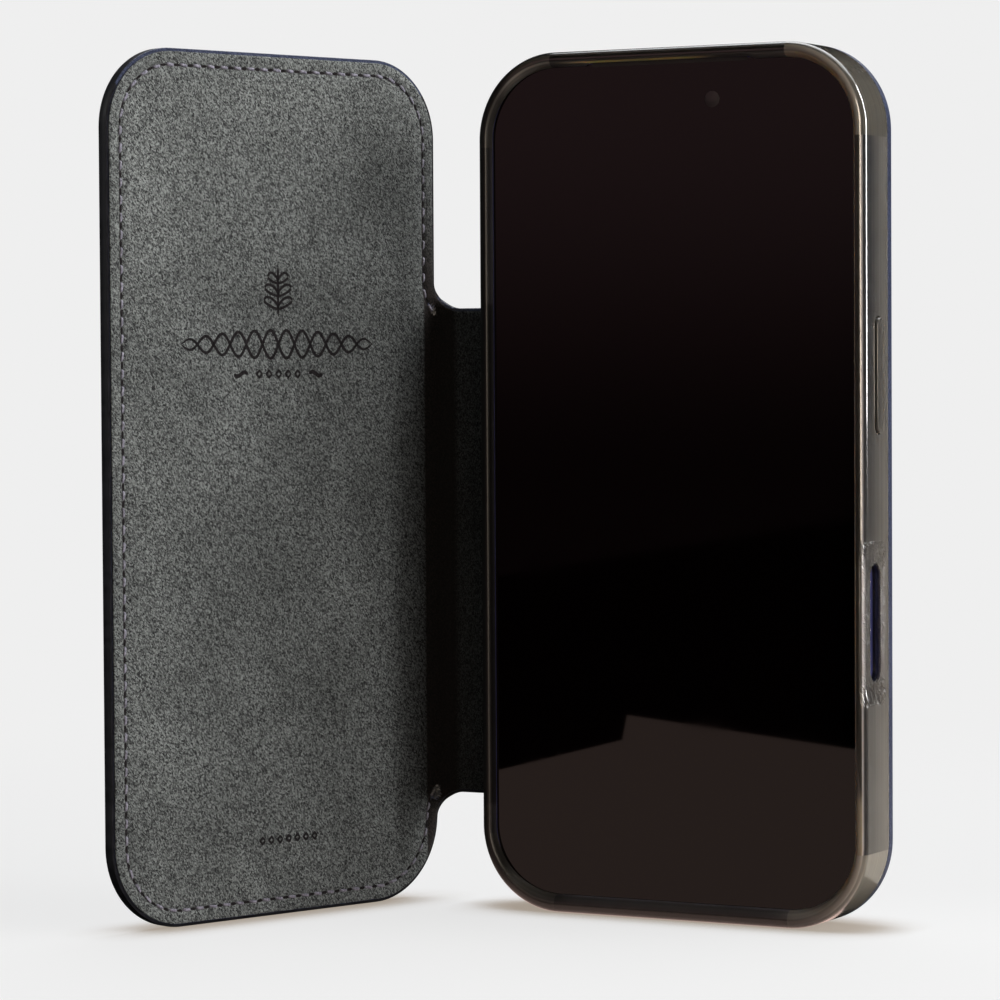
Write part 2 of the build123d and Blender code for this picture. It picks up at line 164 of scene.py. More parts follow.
def arc_points(centre, radius, angle0, angle1, step, sign=1.0):
    """Points and outward directions round an arc, not including its end. sign -1 is a concave arc."""
    count = max(3, int(round(abs(angle1 - angle0) * radius / step)))
    out = []
    for i in range(count):
        angle = angle0 + (angle1 - angle0) * i / count
        direction = np.array([math.cos(angle), math.sin(angle)])
        out.append((np.asarray(centre, float) + radius * direction, sign * direction))
    return out


def straight(start, end, step, outward):
    """Points along a straight edge, not including its end, each with its outward direction."""
    return [(p, np.array(outward)) for p in line_points(start, end, step)]


def rounded_rectangle(width, height, radius, centre, step, arc_step):
    """Points with outward directions, counter-clockwise from the lower right corner's end."""
    cx, cz = centre
    x, z = width / 2 - radius, height / 2 - radius
    out = []
    for index, (sx, sz) in enumerate(((1, 1), (-1, 1), (-1, -1), (1, -1))):
        angle = index * math.pi / 2
        side = np.array([math.cos(angle), math.sin(angle)])
        corner = np.array([cx + sx * x, cz + sz * z])
        before = np.array([cx + x * (1, 1, -1, -1)[index], cz + z * (-1, 1, 1, -1)[index]])
        out += straight(before + radius * side, corner + radius * side, step, side)
        out += arc_points(corner, radius, angle, angle + math.pi / 2, arc_step)
    return out


# ---------------------------------------------------------------- node materials
class Nodes:
    """A short way to write a node tree."""

    def __init__(self, name, rough=0.5, **settings):
        self.material = bpy.data.materials.new(name)
        self.material.use_nodes = True
        self.tree = self.material.node_tree
        self.shader = self.tree.nodes["Principled BSDF"]
        self.shader.inputs["Roughness"].default_value = rough
        for key, value in settings.items():
            self.shader.inputs[key.replace("_", " ")].default_value = value
        self.coords = self.tree.nodes.new("ShaderNodeTexCoord").outputs["Object"]

    def add(self, kind, **properties):
        node = self.tree.nodes.new(kind)
        for key, value in properties.items():
            setattr(node, key, value)
        return node

    def link(self, output, target):
        self.tree.links.new(output, target)

    def output(self, kind, name, values, links, **properties):
        """One output of a new node whose sockets are set to the values and linked to the links."""
        node = self.add(kind, **properties)
        for socket, value in values.items():
            node.inputs[socket].default_value = value
        for socket, source in links.items():
            self.link(source, node.inputs[socket])
        return node.outputs[name]

    def scaled(self, scale):
        return self.output("ShaderNodeMapping", "Vector", {"Scale": scale}, {"Vector": self.coords})

    def stretched(self, size, rotation):
        """Coordinates turned first and then counted in features of the given size in metres."""
        values, links = {"Scale": size, "Rotation": rotation}, {"Vector": self.coords}
        return self.output("ShaderNodeMapping", "Vector", values, links, vector_type="TEXTURE")

    def noise(self, scale, detail=4.0, rough=0.55, vector=None, distortion=0.0):
        values = {"Scale": scale, "Detail": detail, "Roughness": rough, "Distortion": distortion}
        return self.output("ShaderNodeTexNoise", "Fac", values, {"Vector": vector or self.coords})

    def cells(self, scale, feature):
        links = {"Vector": self.coords}
        return self.output("ShaderNodeTexVoronoi", "Distance", {"Scale": scale}, links, feature=feature)

    def speckle(self, vector):
        """A random grey for each small cell."""
        colour = self.output("ShaderNodeTexVoronoi", "Color", {"Scale": 1.0}, {"Vector": vector})
        return self.output("ShaderNodeRGBToBW", "Val", {}, {"Color": colour})

    def ramp(self, value, *stops):
        """stops are (position, colour or grey)."""
        node = self.add("ShaderNodeValToRGB")
        points = node.color_ramp.elements
        while len(points) < len(stops):
            points.new(0.5)
        for point, (position, colour) in zip(points, stops):
            point.position = position
            colour = (colour,) * 3 if isinstance(colour, (int, float)) else colour
            point.color = (*colour, 1.0)
        self.link(value, node.inputs["Fac"])
        return node.outputs["Color"]

    def math(self, operation, a, b=0.0):
        node = self.add("ShaderNodeMath", operation=operation)
        for socket, value in zip(node.inputs, (a, b)):
            if isinstance(value, (int, float)):
                socket.default_value = value
            else:
                self.link(value, socket)
        return node.outputs["Value"]

    def times(self, product, *others):
        for other in others:
            product = self.math("MULTIPLY", product, other)
        return product

    def plus(self, a, b):
        return self.math("ADD", a, b)

    def minus(self, a, b):
        return self.math("SUBTRACT", a, b)

    def hypotenuse(self, a, b):
        return self.math("SQRT", self.plus(self.times(a, a), self.times(b, b)))

    def tint(self, colour, factor):
        return self.mix(1.0, colour, factor, "MULTIPLY")

    def mix(self, factor, a, b, blend="MIX"):
        node = self.add("ShaderNodeMix", data_type="RGBA", blend_type=blend)
        for socket, value in ((node.inputs["Factor"], factor), (node.inputs["A"], a), (node.inputs["B"], b)):
            if isinstance(value, (int, float)):
                socket.default_value = value if socket.type == "VALUE" else (value, value, value, 1.0)
            elif isinstance(value, tuple):
                socket.default_value = (*value, 1.0)
            else:
                self.link(value, socket)
        return node.outputs["Result"]

    def axis(self, name):
        return self.output("ShaderNodeSeparateXYZ", name, {}, {"Vector": self.coords})

    def band(self, value, low, high, soft):
        """1 between low and high, in metres, falling to 0 over soft."""
        up = self.range(value, low - soft, low)
        down = self.range(value, high + soft, high)
        return self.times(up, down)

    def range(self, value, start, end):
        """0 at start and 1 at end, fading smoothly between."""
        values = {"From Min": start, "From Max": end}
        kind = "ShaderNodeMapRange"
        return self.output(kind, "Result", values, {"Value": value}, interpolation_type="SMOOTHSTEP")

    def colour(self, output):
        self.link(output, self.shader.inputs["Base Color"])

    def roughness(self, output):
        self.link(output, self.shader.inputs["Roughness"])

    def bump(self, height, distance, strength=1.0, after=None):
        """Bumps the surface, on top of an earlier bump if one is given."""
        links = {"Height": height} if after is None else {"Height": height, "Normal": after}
        normal = self.output("ShaderNodeBump", "Normal", {"Distance": distance, "Strength": strength}, links)
        self.link(normal, self.shader.inputs["Normal"])
        return normal


# The strip of lining beside the near fold is darkened as painted shade, more so lower down, in metres.
SHADED_NEAR_MARGIN, SOFT_MARGIN, MARGIN_FADE = (-0.0006, 0.0026), 0.0006, (0.138, 0.112)


def leather_material():
    m = Nodes("navy_leather", 0.45, Specular_IOR_Level=0.4, Coat_Weight=0.12, Coat_Roughness=0.35)
    pebbles = m.cells(1400.0, "SMOOTH_F1")
    creases = m.cells(1400.0, "DISTANCE_TO_EDGE")
    broad = m.noise(55.0, 3.0)
    fine = m.noise(5200.0, 3.0)
    worn = m.mix(m.ramp(broad, (0.35, 0.0), (0.7, 1.0)), (0.036, 0.046, 0.092), (0.056, 0.070, 0.130))
    m.colour(m.mix(m.ramp(creases, (0.0, 0.0), (0.12, 1.0)), (0.018, 0.023, 0.050), worn))
    m.roughness(m.ramp(fine, (0.3, 0.38), (0.7, 0.56)))
    height = m.minus(m.ramp(creases, (0.0, 0.0), (0.2, 1.0)), pebbles)
    normal = m.bump(height, 0.00007, 0.8)
    m.bump(fine, 0.00002, 0.5, after=normal)
    return m.material


def edge_paint_material():
    m = Nodes("edge_paint", 0.5, Specular_IOR_Level=0.35)
    along = m.noise(900.0, 5.0, vector=m.scaled((0.35, 0.35, 1.0)))
    m.colour(m.ramp(along, (0.3, (0.004, 0.004, 0.006)), (0.75, (0.014, 0.014, 0.020))))
    m.roughness(m.ramp(along, (0.3, 0.42), (0.7, 0.65)))
    m.bump(along, 0.00008, 0.7)
    return m.material


def across_cover(m):
    """How far across the cover a point lies from its near edge, in metres."""
    x = m.times(m.minus(m.axis("X"), COVER_NEAR[0] * MM), COVER_ALONG[0])
    y = m.times(m.minus(m.axis("Y"), COVER_NEAR[1] * MM), COVER_ALONG[1])
    return m.plus(x, y)


def microfibre_material():
    m = Nodes("microfibre", 0.95, Specular_IOR_Level=0.12, Sheen_Weight=0.15, Sheen_Roughness=0.6)
    m.shader.inputs["Sheen Tint"].default_value = (0.80, 0.85, 0.85, 1.0)
    lean = (0.75, 0.0, 0.0)
    nap = m.noise(1.0, 2.0, 0.5, vector=m.stretched((0.00030, 0.00030, 0.00056), lean))
    fibre = m.speckle(m.stretched((0.00019, 0.00019, 0.00040), lean))
    tip = m.speckle(m.stretched((0.00014, 0.00014, 0.00025), (-0.4, 0.0, 0.0)))
    blotch = m.noise(42.0, 4.0, 0.6, distortion=0.6)
    strokes = m.noise(1.0, 3.0, 0.5, vector=m.stretched((0.016, 0.016, 0.050), (0.35, 0.0, 0.0)))
    mixed = m.plus(m.plus(m.times(fibre, 0.50), m.times(tip, 0.28)), m.times(nap, 0.34))
    greys = (0.36, (0.020, 0.020, 0.022)), (0.56, (0.132, 0.139, 0.137)), (0.78, (0.330, 0.350, 0.340))
    base = m.ramp(mixed, *greys)
    shade = m.plus(m.times(blotch, 0.6), m.times(strokes, 0.4))
    base = m.tint(base, m.ramp(shade, (0.38, 0.72), (0.62, 1.12)))
    # Painted shade on the strip of lining beside the near fold.
    margin = m.times(m.band(across_cover(m), *SHADED_NEAR_MARGIN, SOFT_MARGIN), m.range(m.axis("Z"), *MARGIN_FADE))
    m.colour(m.tint(base, m.mix(margin, 1.0, (0.13, 0.09, 0.085))))
    normal = m.bump(nap, 0.00007, 0.7)
    m.bump(mixed, 0.00005, 0.6, after=normal)
    return m.material


def thread_material():
    m = Nodes("waxed_thread", 0.45, Specular_IOR_Level=0.5, Sheen_Weight=0.1)
    twist = m.noise(2600.0, 2.0)
    m.colour(m.ramp(twist, (0.3, (0.110, 0.105, 0.135)), (0.7, (0.420, 0.405, 0.500))))
    m.bump(twist, 0.00004, 0.6)
    return m.material


def stamp_material():
    m = Nodes("hot_stamp", 0.8, Specular_IOR_Level=0.06)
    grain = m.noise(2400.0, 4.0)
    m.colour(m.ramp(grain, (0.3, (0.010, 0.008, 0.009)), (0.8, (0.040, 0.036, 0.038))))
    m.bump(grain, 0.00005, 0.6)
    return m.material


def wall_inset(m):
    """How far in from the case's outline a point lies, by nodes."""
    x = m.minus(m.math("ABSOLUTE", m.axis("X")), (CASE_HALF - CASE_R) * MM)
    half_z = CASE_H / 2 * MM
    z = m.minus(m.math("ABSOLUTE", m.minus(m.axis("Z"), half_z)), half_z - CASE_R * MM)
    return m.minus(CASE_R * MM, m.hypotenuse(m.math("MAXIMUM", x, 0.0), m.math("MAXIMUM", z, 0.0)))


# Where the bumper's looks change, in metres. A pair is the start and the end of a fade.
SEAM_SOFT, SPINE_SOFT, HOLLOW_SOFT = 0.0001, 0.001, 0.0012
LOWER_REFLECTION, BACKWARD = (0.125, 0.030), (-0.0045, 0.0035)
RIGHT_PART, HINGE_SIDE = (0.020, 0.030), (-0.030, -0.034)
SLOPE_Y, CREST, CREST_SOFT = (-0.0056, -0.0048), (0.00080, 0.00155), 0.00025
LIP_START, GEL_LIP_START, LIP_INSIDE = (0.00030, 0.0007), (0.00040, 0.0009), (0.0013, 0.0016)
TAN_Z, TAN_SOFT = (0.0145, 0.0215), 0.004
TOP_Z, TOP_Y = (0.1496, 0.1504), (-0.0040, -0.0048)
GLINT_X, GLINT_X_SOFT, GLINT_Z = (-0.0155, 0.004), 0.008, (0.1500, 0.1506)
GLINT_INSET, GLINT_SOFT = (0.00195, 0.00215), 0.0001
HOLLOW_Y, HOLLOW_INSET = (-0.0052, -0.0046), (0.0009, 0.0007)
FOOT_Z, FOOT_X = (0.021, 0.009), (0.032, 0.016)
LEFT_RIM_X, FINE_LINE, FINE_SOFT = (-0.018, -0.024), (0.00175, 0.00195), 0.00015
SLOT_WALL, FOLD_FRONT, FOLD_BACK = (0.0007, 0.0010), (-0.0062, -0.0050), (0.0030, 0.0018)


def around_slot(m, half, soft):
    """1 where a point is less than half (in mm) above or below the slot's middle."""
    return m.band(m.axis("Z"), (SLOT_Z - half) * MM, (SLOT_Z + half) * MM, soft)


def corner_mask(m):
    """1 where a gel corner lies behind the wall."""
    x, z = m.math("ABSOLUTE", m.axis("X")), m.axis("Z")
    side = m.range(x, SEAM_X * MM - SEAM_SOFT, SEAM_X * MM + SEAM_SOFT)
    low, high = CORNER_LOW * MM, CORNER_HIGH * MM
    below = m.range(z, low + SEAM_SOFT, low - SEAM_SOFT)
    above = m.range(z, high - SEAM_SOFT, high + SEAM_SOFT)
    return m.times(side, m.math("MAXIMUM", below, above))


# Painted reflection: the wall is paler toward the foot. It is also paler and browner toward the back.
def wall_tone(m, lower_reflection):
    backward = m.range(m.axis("Y"), *BACKWARD)
    high_wall = m.mix(backward, (0.034, 0.033, 0.034), (0.135, 0.126, 0.114))
    low_wall = m.mix(backward, (0.052, 0.048, 0.045), (0.125, 0.111, 0.098))
    return m.mix(lower_reflection, high_wall, low_wall)


def lip_tone(m, inset, crest, right):
    """The lip round the screen: its slope and crest, with painted light and shade and a painted glint by the
    earpiece.
    """
    y, z = m.axis("Y"), m.axis("Z")
    slope = m.mix(m.range(y, *SLOPE_Y), (0.30, 0.27, 0.26), (0.50, 0.46, 0.54))
    # Painted light: the slope on the right is paler, standing in for light it doesn't get.
    slope = m.mix(right, slope, (0.72, 0.65, 0.62))
    # Painted reflection: a tan band on the crest near the foot.
    crest_reflection = m.mix(m.band(z, *TAN_Z, TAN_SOFT), (0.085, 0.073, 0.060), (0.40, 0.33, 0.22))
    lip = m.mix(crest, slope, crest_reflection)
    # Painted shade: the front of the top lip is darkened.
    top = m.times(m.range(z, *TOP_Z), m.range(y, *TOP_Y))
    lip = m.tint(lip, m.mix(top, 1.0, 0.6))
    # Painted highlight: a pale glint on the lip beside the earpiece.
    glint = m.times(m.band(m.axis("X"), *GLINT_X, GLINT_X_SOFT), m.range(z, *GLINT_Z))
    glint = m.times(glint, m.band(inset, *GLINT_INSET, GLINT_SOFT))
    return m.mix(glint, lip, (0.95, 0.78, 0.50))


def straight_tone(m, inset, crest, right, lower_reflection):
    """Wall and lip between the corners. The hollow round the slot lies as far in as the lip but is wall."""
    hollow = m.times(right, around_slot(m, SCOOP_HALF, HOLLOW_SOFT))
    hollow = m.times(hollow, m.range(m.axis("Y"), *HOLLOW_Y), m.range(inset, *HOLLOW_INSET))
    on_lip = m.times(m.range(inset, *LIP_START), m.minus(1.0, hollow))
    return m.mix(on_lip, wall_tone(m, lower_reflection), lip_tone(m, inset, crest, right))


def corner_tone(m, inset, crest, lower_reflection):
    # Painted reflection: the gel wall is paler toward the foot.
    gel_wall = m.mix(lower_reflection, (0.085, 0.078, 0.066), (0.230, 0.205, 0.170))
    # Painted light: the gel lip's slope is pale, standing in for light gathered in the gel.
    gel_lip = m.mix(crest, (0.70, 0.63, 0.55), (0.42, 0.37, 0.31))
    return m.mix(m.range(inset, *GEL_LIP_START), gel_wall, gel_lip)


def painted_shade(m, tone, inset, hinge_side):
    """The photo's shade, painted on: beside the spine, at the foot and on the left part of the lip."""
    z = m.axis("Z")
    behind_spine = m.band(z, SPINE_LOW * MM, SPINE_HIGH * MM, SPINE_SOFT)
    tone = m.tint(tone, m.mix(hinge_side, 1.0, m.mix(behind_spine, 0.20, 0.04)))
    foot = m.times(m.range(z, *FOOT_Z), m.range(m.axis("X"), *FOOT_X))
    tone = m.tint(tone, m.mix(foot, 1.0, 0.36))
    fine_line = m.band(inset, *FINE_LINE, FINE_SOFT)
    left_rim = m.times(m.range(m.axis("X"), *LEFT_RIM_X), m.mix(fine_line, 1.0, 0.35))
    return m.tint(tone, m.mix(left_rim, 1.0, 0.36))


def slot_wall_shade(m, inset):
    """1 on the slot's own walls, which are painted near-black as painted shade."""
    across = m.band(m.axis("Y"), (SLOT_Y - SLOT_D / 2) * MM, (SLOT_Y + SLOT_D / 2) * MM, 0.0001)
    return m.times(around_slot(m, SLOT_L / 2, 0.0002), across, m.range(inset, *SLOT_WALL))


def crinkles(m, right):
    """Height of the folds in the hollow, strongest above and below the slot."""
    y = m.axis("Y")
    beside = around_slot(m, SLOT_L / 2 - 1, 0.0008)
    crinkled = m.times(around_slot(m, SCOOP_HALF - 1, 0.0015), m.mix(beside, 1.0, 0.25))
    crinkled = m.times(crinkled, m.times(right, m.range(y, *FOLD_FRONT)), m.range(y, *FOLD_BACK))
    creased = m.stretched((0.0030, 0.0011, 0.0026), (0.5, 0.0, 0.0))
    folds = m.noise(1.0, 3.0, 0.6, vector=creased, distortion=1.5)
    return m.times(m.minus(folds, 0.5), crinkled)


def bumper_material():
    """Smoky glossy plastic: dark along the straight walls, paler and browner over the gel corners."""
    m = Nodes("smoky_bumper", 0.14, IOR=1.47, Coat_Roughness=0.04, Specular_IOR_Level=0.3,
              Subsurface_Weight=0.7, Subsurface_Radius=(1.0, 0.85, 0.70), Subsurface_Scale=0.0030)
    inset = wall_inset(m)
    crest = m.band(inset, *CREST, CREST_SOFT)
    right, hinge_side = m.range(m.axis("X"), *RIGHT_PART), m.range(m.axis("X"), *HINGE_SIDE)
    lower_reflection = m.range(m.axis("Z"), *LOWER_REFLECTION)
    between_corners = straight_tone(m, inset, crest, right, lower_reflection)
    tone = m.mix(corner_mask(m), between_corners, corner_tone(m, inset, crest, lower_reflection))
    tone = painted_shade(m, tone, inset, hinge_side)
    layers = m.noise(1.0, 3.0, 0.5, vector=m.scaled((1.0, 2600.0, 8.0)))
    tone = m.tint(tone, m.ramp(layers, (0.3, 0.78), (0.7, 1.18)))
    tone = m.tint(tone, m.ramp(m.noise(40.0, 2.0), (0.3, 0.9), (0.7, 1.1)))
    # Painted shade: the slot's walls are near-black.
    m.colour(m.mix(slot_wall_shade(m, inset), tone, (0.004, 0.004, 0.006)))
    matt = m.math("MAXIMUM", m.range(inset, *LIP_INSIDE), hinge_side)
    m.roughness(m.mix(matt, 0.13, 0.40))
    m.link(m.mix(matt, 0.6, 0.0), m.shader.inputs["Coat Weight"])
    normal = m.bump(m.noise(260.0, 2.0), 0.00003, 0.25)
    m.bump(crinkles(m, right), 0.0030, 1.0, after=normal)
    return m.material


def gel_material():
    m = Nodes("corner_gel", 0.25, Specular_IOR_Level=0.5)
    m.colour(m.ramp(m.noise(300.0), (0.3, (0.10, 0.09, 0.075)), (0.7, (0.15, 0.135, 0.115))))
    return m.material


def metal_material(name, dark, light, rough=0.32, metallic=1.0):
    m = Nodes(name, rough, Metallic=metallic)
    grain = m.noise(3500.0, 2.0)
    m.colour(m.ramp(m.noise(180.0, 2.0), (0.3, dark), (0.7, light)))
    m.roughness(m.ramp(grain, (0.3, rough - 0.05), (0.7, rough + 0.08)))
    m.bump(grain, 0.00001, 0.3)
    return m.material


def display_material():
    m = Nodes("display_glass", 0.03, IOR=1.33)
    smudge = m.noise(35.0, 4.0, 0.6, distortion=1.0)
    weave = m.noise(1.0, 1.0, vector=m.scaled((2400.0, 1.0, 2400.0)))
    m.colour(m.ramp(weave, (0.3, (0.0030, 0.0003, 0.0008)), (0.7, (0.0050, 0.0008, 0.0016))))
    m.roughness(m.ramp(smudge, (0.45, 0.02), (0.75, 0.06)))
    return m.material


def dark_glass_material(name, colour, rough):
    m = Nodes(name, rough, IOR=1.5, Coat_Weight=0.3, Coat_Roughness=0.05)
    speck = m.noise(900.0, 3.0)
    m.colour(m.ramp(speck, (0.3, tuple(c * 0.85 for c in colour)), (0.7, colour)))
    return m.material


def rear_lens_material():
    """Coated glass over a dark barrel, in rings round each of the three lenses; the violet ring is a painted
    reflection of the coating.
    """
    m = Nodes("rear_lens_glass", 0.05, IOR=1.5, Coat_Weight=0.3, Coat_Roughness=0.03)
    low, high = millimetres("phone_lens_glass")
    radius = (high[2] - low[2]) / 2
    from_middle = m.math("ABSOLUTE", m.axis("X"))
    from_outer = m.math("ABSOLUTE", m.minus(from_middle, (high[0] - radius) * MM))
    x = m.math("MINIMUM", from_middle, from_outer)
    z = m.minus(m.axis("Z"), (low[2] + radius) * MM)
    share = m.math("DIVIDE", m.hypotenuse(x, z), radius * MM)
    rings = (
        (0.10, (0.004, 0.004, 0.010)), (0.22, (0.060, 0.030, 0.130)), (0.34, (0.010, 0.020, 0.060)),
        (0.40, (0.001, 0.001, 0.002)), (0.62, (0.002, 0.002, 0.003)), (0.66, (0.075, 0.075, 0.085)),
        (0.70, (0.004, 0.004, 0.005)), (0.90, (0.002, 0.002, 0.003)),
    )
    m.colour(m.ramp(share, *rings))
    return m.material


def plastic_material(name, colour, rough):
    m = Nodes(name, rough)
    grain = m.noise(1800.0, 3.0)
    m.colour(m.ramp(grain, (0.3, tuple(c * 0.8 for c in colour)), (0.7, colour)))
    m.bump(grain, 0.00003, 0.4)
    return m.material


MATERIALS = {
    "leather": leather_material(),
    "edge": edge_paint_material(),
    "microfibre": microfibre_material(),
    "thread": thread_material(),
    "stamp": stamp_material(),
    "bumper": bumper_material(),
    "gel": gel_material(),
    "phone": metal_material("phone_metal", (0.080, 0.085, 0.270), (0.105, 0.115, 0.340), 0.4, 0.55),
    "surround": metal_material("surround_metal", (0.030, 0.033, 0.042), (0.045, 0.048, 0.060), 0.38),
    "lens_ring": metal_material("lens_ring_metal", (0.05, 0.06, 0.10), (0.08, 0.09, 0.14), 0.2),
    "magnet": metal_material("magnet_metal", (0.5, 0.5, 0.5), (0.62, 0.62, 0.6), 0.25),
    "display": display_material(),
    "back_glass": dark_glass_material("back_glass", (0.020, 0.028, 0.070), 0.35),
    "rear_lens": rear_lens_material(),
    "hard_plate": plastic_material("hard_plate", (0.025, 0.025, 0.027), 0.5),
    "board": plastic_material("board", (0.28, 0.24, 0.19), 0.8),
    "battery": plastic_material("battery_wrap", (0.10, 0.10, 0.105), 0.45),
}

CAD_MATERIALS = {
    "hard_plate": ("back_plate",),
    "surround": ("camera_surround",),
    "magnet": ("magnet_ring", "alignment_magnet"),
    "board": ("spine_stiffener", "cover_board"),
    "phone": ("phone_chassis", "phone_camera_plateau", "phone_capture_key", "phone_power_key",
              "phone_volume_up_key", "phone_volume_down_key", "phone_action_key"),
    "battery": ("phone_battery",),
    "display": ("phone_display_glass",),
    "back_glass": ("phone_back_glass",),
    "lens_ring": ("phone_lens_rings",),
    "rear_lens": ("phone_lens_glass",),
    "gel": ("corner_cushion_top_left", "corner_cushion_top_right",
            "corner_cushion_bottom_left", "corner_cushion_bottom_right"),
}


def dress_cad_nodes():
    for material, nodes in CAD_MATERIALS.items():
        for node in nodes:
            mesh = frame["nodes"][node].data
            mesh.materials.clear()
            mesh.materials.append(MATERIALS[material])


# ---------------------------------------------------------------- the skin's own coordinates: u, z and depth
# u runs from the cover's near edge: positive across the cover, negative along the spine towards the case.
FOLD_R = 1.2
Y_SPINE_INSIDE = Y_BACK - SPINE_T
FOLD_MEET_U = (COVER_NEAR[1] - Y_SPINE_INSIDE) / -COVER_ALONG[1]
FOLD_TANGENT = FOLD_R * math.tan(REST_ANGLE / 2)
FOLD_END_U = FOLD_MEET_U + FOLD_TANGENT
FOLD_START_U = FOLD_END_U - FOLD_R * REST_ANGLE
FOLD_MEET_X = COVER_NEAR[0] + FOLD_MEET_U * COVER_ALONG[0]
SPINE_START_X = FOLD_MEET_X + FOLD_TANGENT


def bent(u):
    """The lining's line through the fold: a point, and the direction from there towards the leather."""
    if u >= FOLD_END_U:
        return COVER_NEAR + u * COVER_ALONG, -COVER_INWARD
    if u <= FOLD_START_U:
        return np.array([SPINE_START_X + (FOLD_START_U - u), Y_SPINE_INSIDE]), np.array([0.0, 1.0])
    centre = np.array([SPINE_START_X, Y_SPINE_INSIDE - FOLD_R])
    angle = math.pi / 2 + (u - FOLD_START_U) / FOLD_R
    outward = np.array([math.cos(angle), math.sin(angle)])
    return centre + FOLD_R * outward, outward


def thickness(u):
    return SPINE_T + (EDGE_T - SPINE_T) * float(smooth(FOLD_START_U - 0.5, FOLD_END_U + 2.5, u))


def skin_point(u, z, depth):
    """A point of the skin. depth is 0 on the lining and 1 on the leather."""
    line, outward = bent(u)
    above_foot = smooth(SPINE_LOW - FLARE_LOW, SPINE_LOW + 0.5, z)
    inside = float(above_foot * smooth(SPINE_HIGH + FLARE_HIGH, SPINE_HIGH - 0.5, z))
    flat = COVER_NEAR + u * COVER_ALONG
    line = flat + (line - flat) * inside
    outward = -COVER_INWARD + (outward + COVER_INWARD) * inside
    outward = outward / np.linalg.norm(outward)
    thick = EDGE_T + (thickness(u) - EDGE_T) * inside
    p = line + outward * thick * depth
    return (p[0], p[1], z)


UP, DOWN, LEFT, RIGHT = (0.0, 1.0), (0.0, -1.0), (-1.0, 0.0), (1.0, 0.0)
SPINE_STEP, FLARE_STEP, STRIP_STEP = 0.5, 0.35, 0.3


def cover_outline(u_end, step=2.0, arc_step=0.8):
    """The skin's edge in u and z, with outward directions, from the spine's cut at u_end round the cover and
    back. It is one closed loop whose last stretch is the cut."""
    z0, z1 = COVER_LOW, COVER_LOW + COVER_H
    r, low_r, width = COVER_R, COVER_LOW_R, COVER_W
    quarter = math.pi / 2
    low_flare, high_flare = SPINE_LOW - FLARE_LOW, SPINE_HIGH + FLARE_HIGH
    out = straight((u_end, SPINE_HIGH), (-FLARE_HIGH, SPINE_HIGH), SPINE_STEP, UP)
    out += arc_points((-FLARE_HIGH, high_flare), FLARE_HIGH, -quarter, 0, FLARE_STEP, -1.0)
    out += straight((0, high_flare), (0, z1 - r), step, LEFT)
    out += arc_points((r, z1 - r), r, math.pi, quarter, arc_step)
    out += straight((r, z1), (width - r, z1), step, UP)
    out += arc_points((width - r, z1 - r), r, quarter, 0, arc_step)
    out += straight((width, z1 - r), (width, z0 + low_r), step, RIGHT)
    out += arc_points((width - low_r, z0 + low_r), low_r, 0, -quarter, arc_step)
    out += straight((width - low_r, z0), (low_r, z0), step, DOWN)
    out += arc_points((low_r, z0 + low_r), low_r, -quarter, -math.pi, arc_step)
    out += straight((0, z0 + low_r), (0, low_flare), step, LEFT)
    out += arc_points((-FLARE_LOW, low_flare), FLARE_LOW, 0, quarter, FLARE_STEP, -1.0)
    out += straight((-FLARE_LOW, SPINE_LOW), (u_end, SPINE_LOW), SPINE_STEP, DOWN)
    out.append((np.array([u_end, SPINE_LOW]), np.array(DOWN)))
    return out


def spine_strip_outline(u_start, u_end):
    """The rest of the spine: a plain strip from u_start near the case to u_end, where the cover begins."""
    out = straight((u_start, SPINE_HIGH), (u_end, SPINE_HIGH), STRIP_STEP, UP)
    out.append((np.array([u_end, SPINE_HIGH]), np.array(UP)))
    out += straight((u_end, SPINE_LOW), (u_start, SPINE_LOW), STRIP_STEP, DOWN)
    out.append((np.array([u_start, SPINE_LOW]), np.array(DOWN)))
    return out


def fill_points(loop, columns, z_step, margin):
    """Points inside a loop, on the given columns of u, at least a margin from the loop."""
    loop = np.asarray(loop)
    out = []
    for u in columns:
        for z in np.arange(loop[:, 1].min() + z_step / 2, loop[:, 1].max(), z_step):
            if inside_loop(loop, u, z) and np.min(np.hypot(loop[:, 0] - u, loop[:, 1] - z)) > margin:
                out.append((u, z))
    return out


def inside_loop(loop, x, y):
    a, b = loop, np.roll(loop, -1, axis=0)
    crosses = (a[:, 1] > y) != (b[:, 1] > y)
    with np.errstate(divide="ignore", invalid="ignore"):
        at = a[:, 0] + (y - a[:, 1]) * (b[:, 0] - a[:, 0]) / (b[:, 1] - a[:, 1])
    return bool(np.sum(crosses & (x < at)) % 2)


def loop_edges(first, count):
    return [(first + i, first + (i + 1) % count) for i in range(count)]


def triangulate(points, inner, edges):
    """Fills a face. Gives its points, the number of the given point that each came from (or None), and its
    triangles."""
    flat = [Vector(p) for p in list(points) + list(inner)]
    places, _, triangles, sources, _, _ = geometry.delaunay_2d_cdt(flat, edges, [], 1, 1e-6)
    known = [s[0] if s and s[0] < len(points) else None for s in sources]
    return places, known, triangles


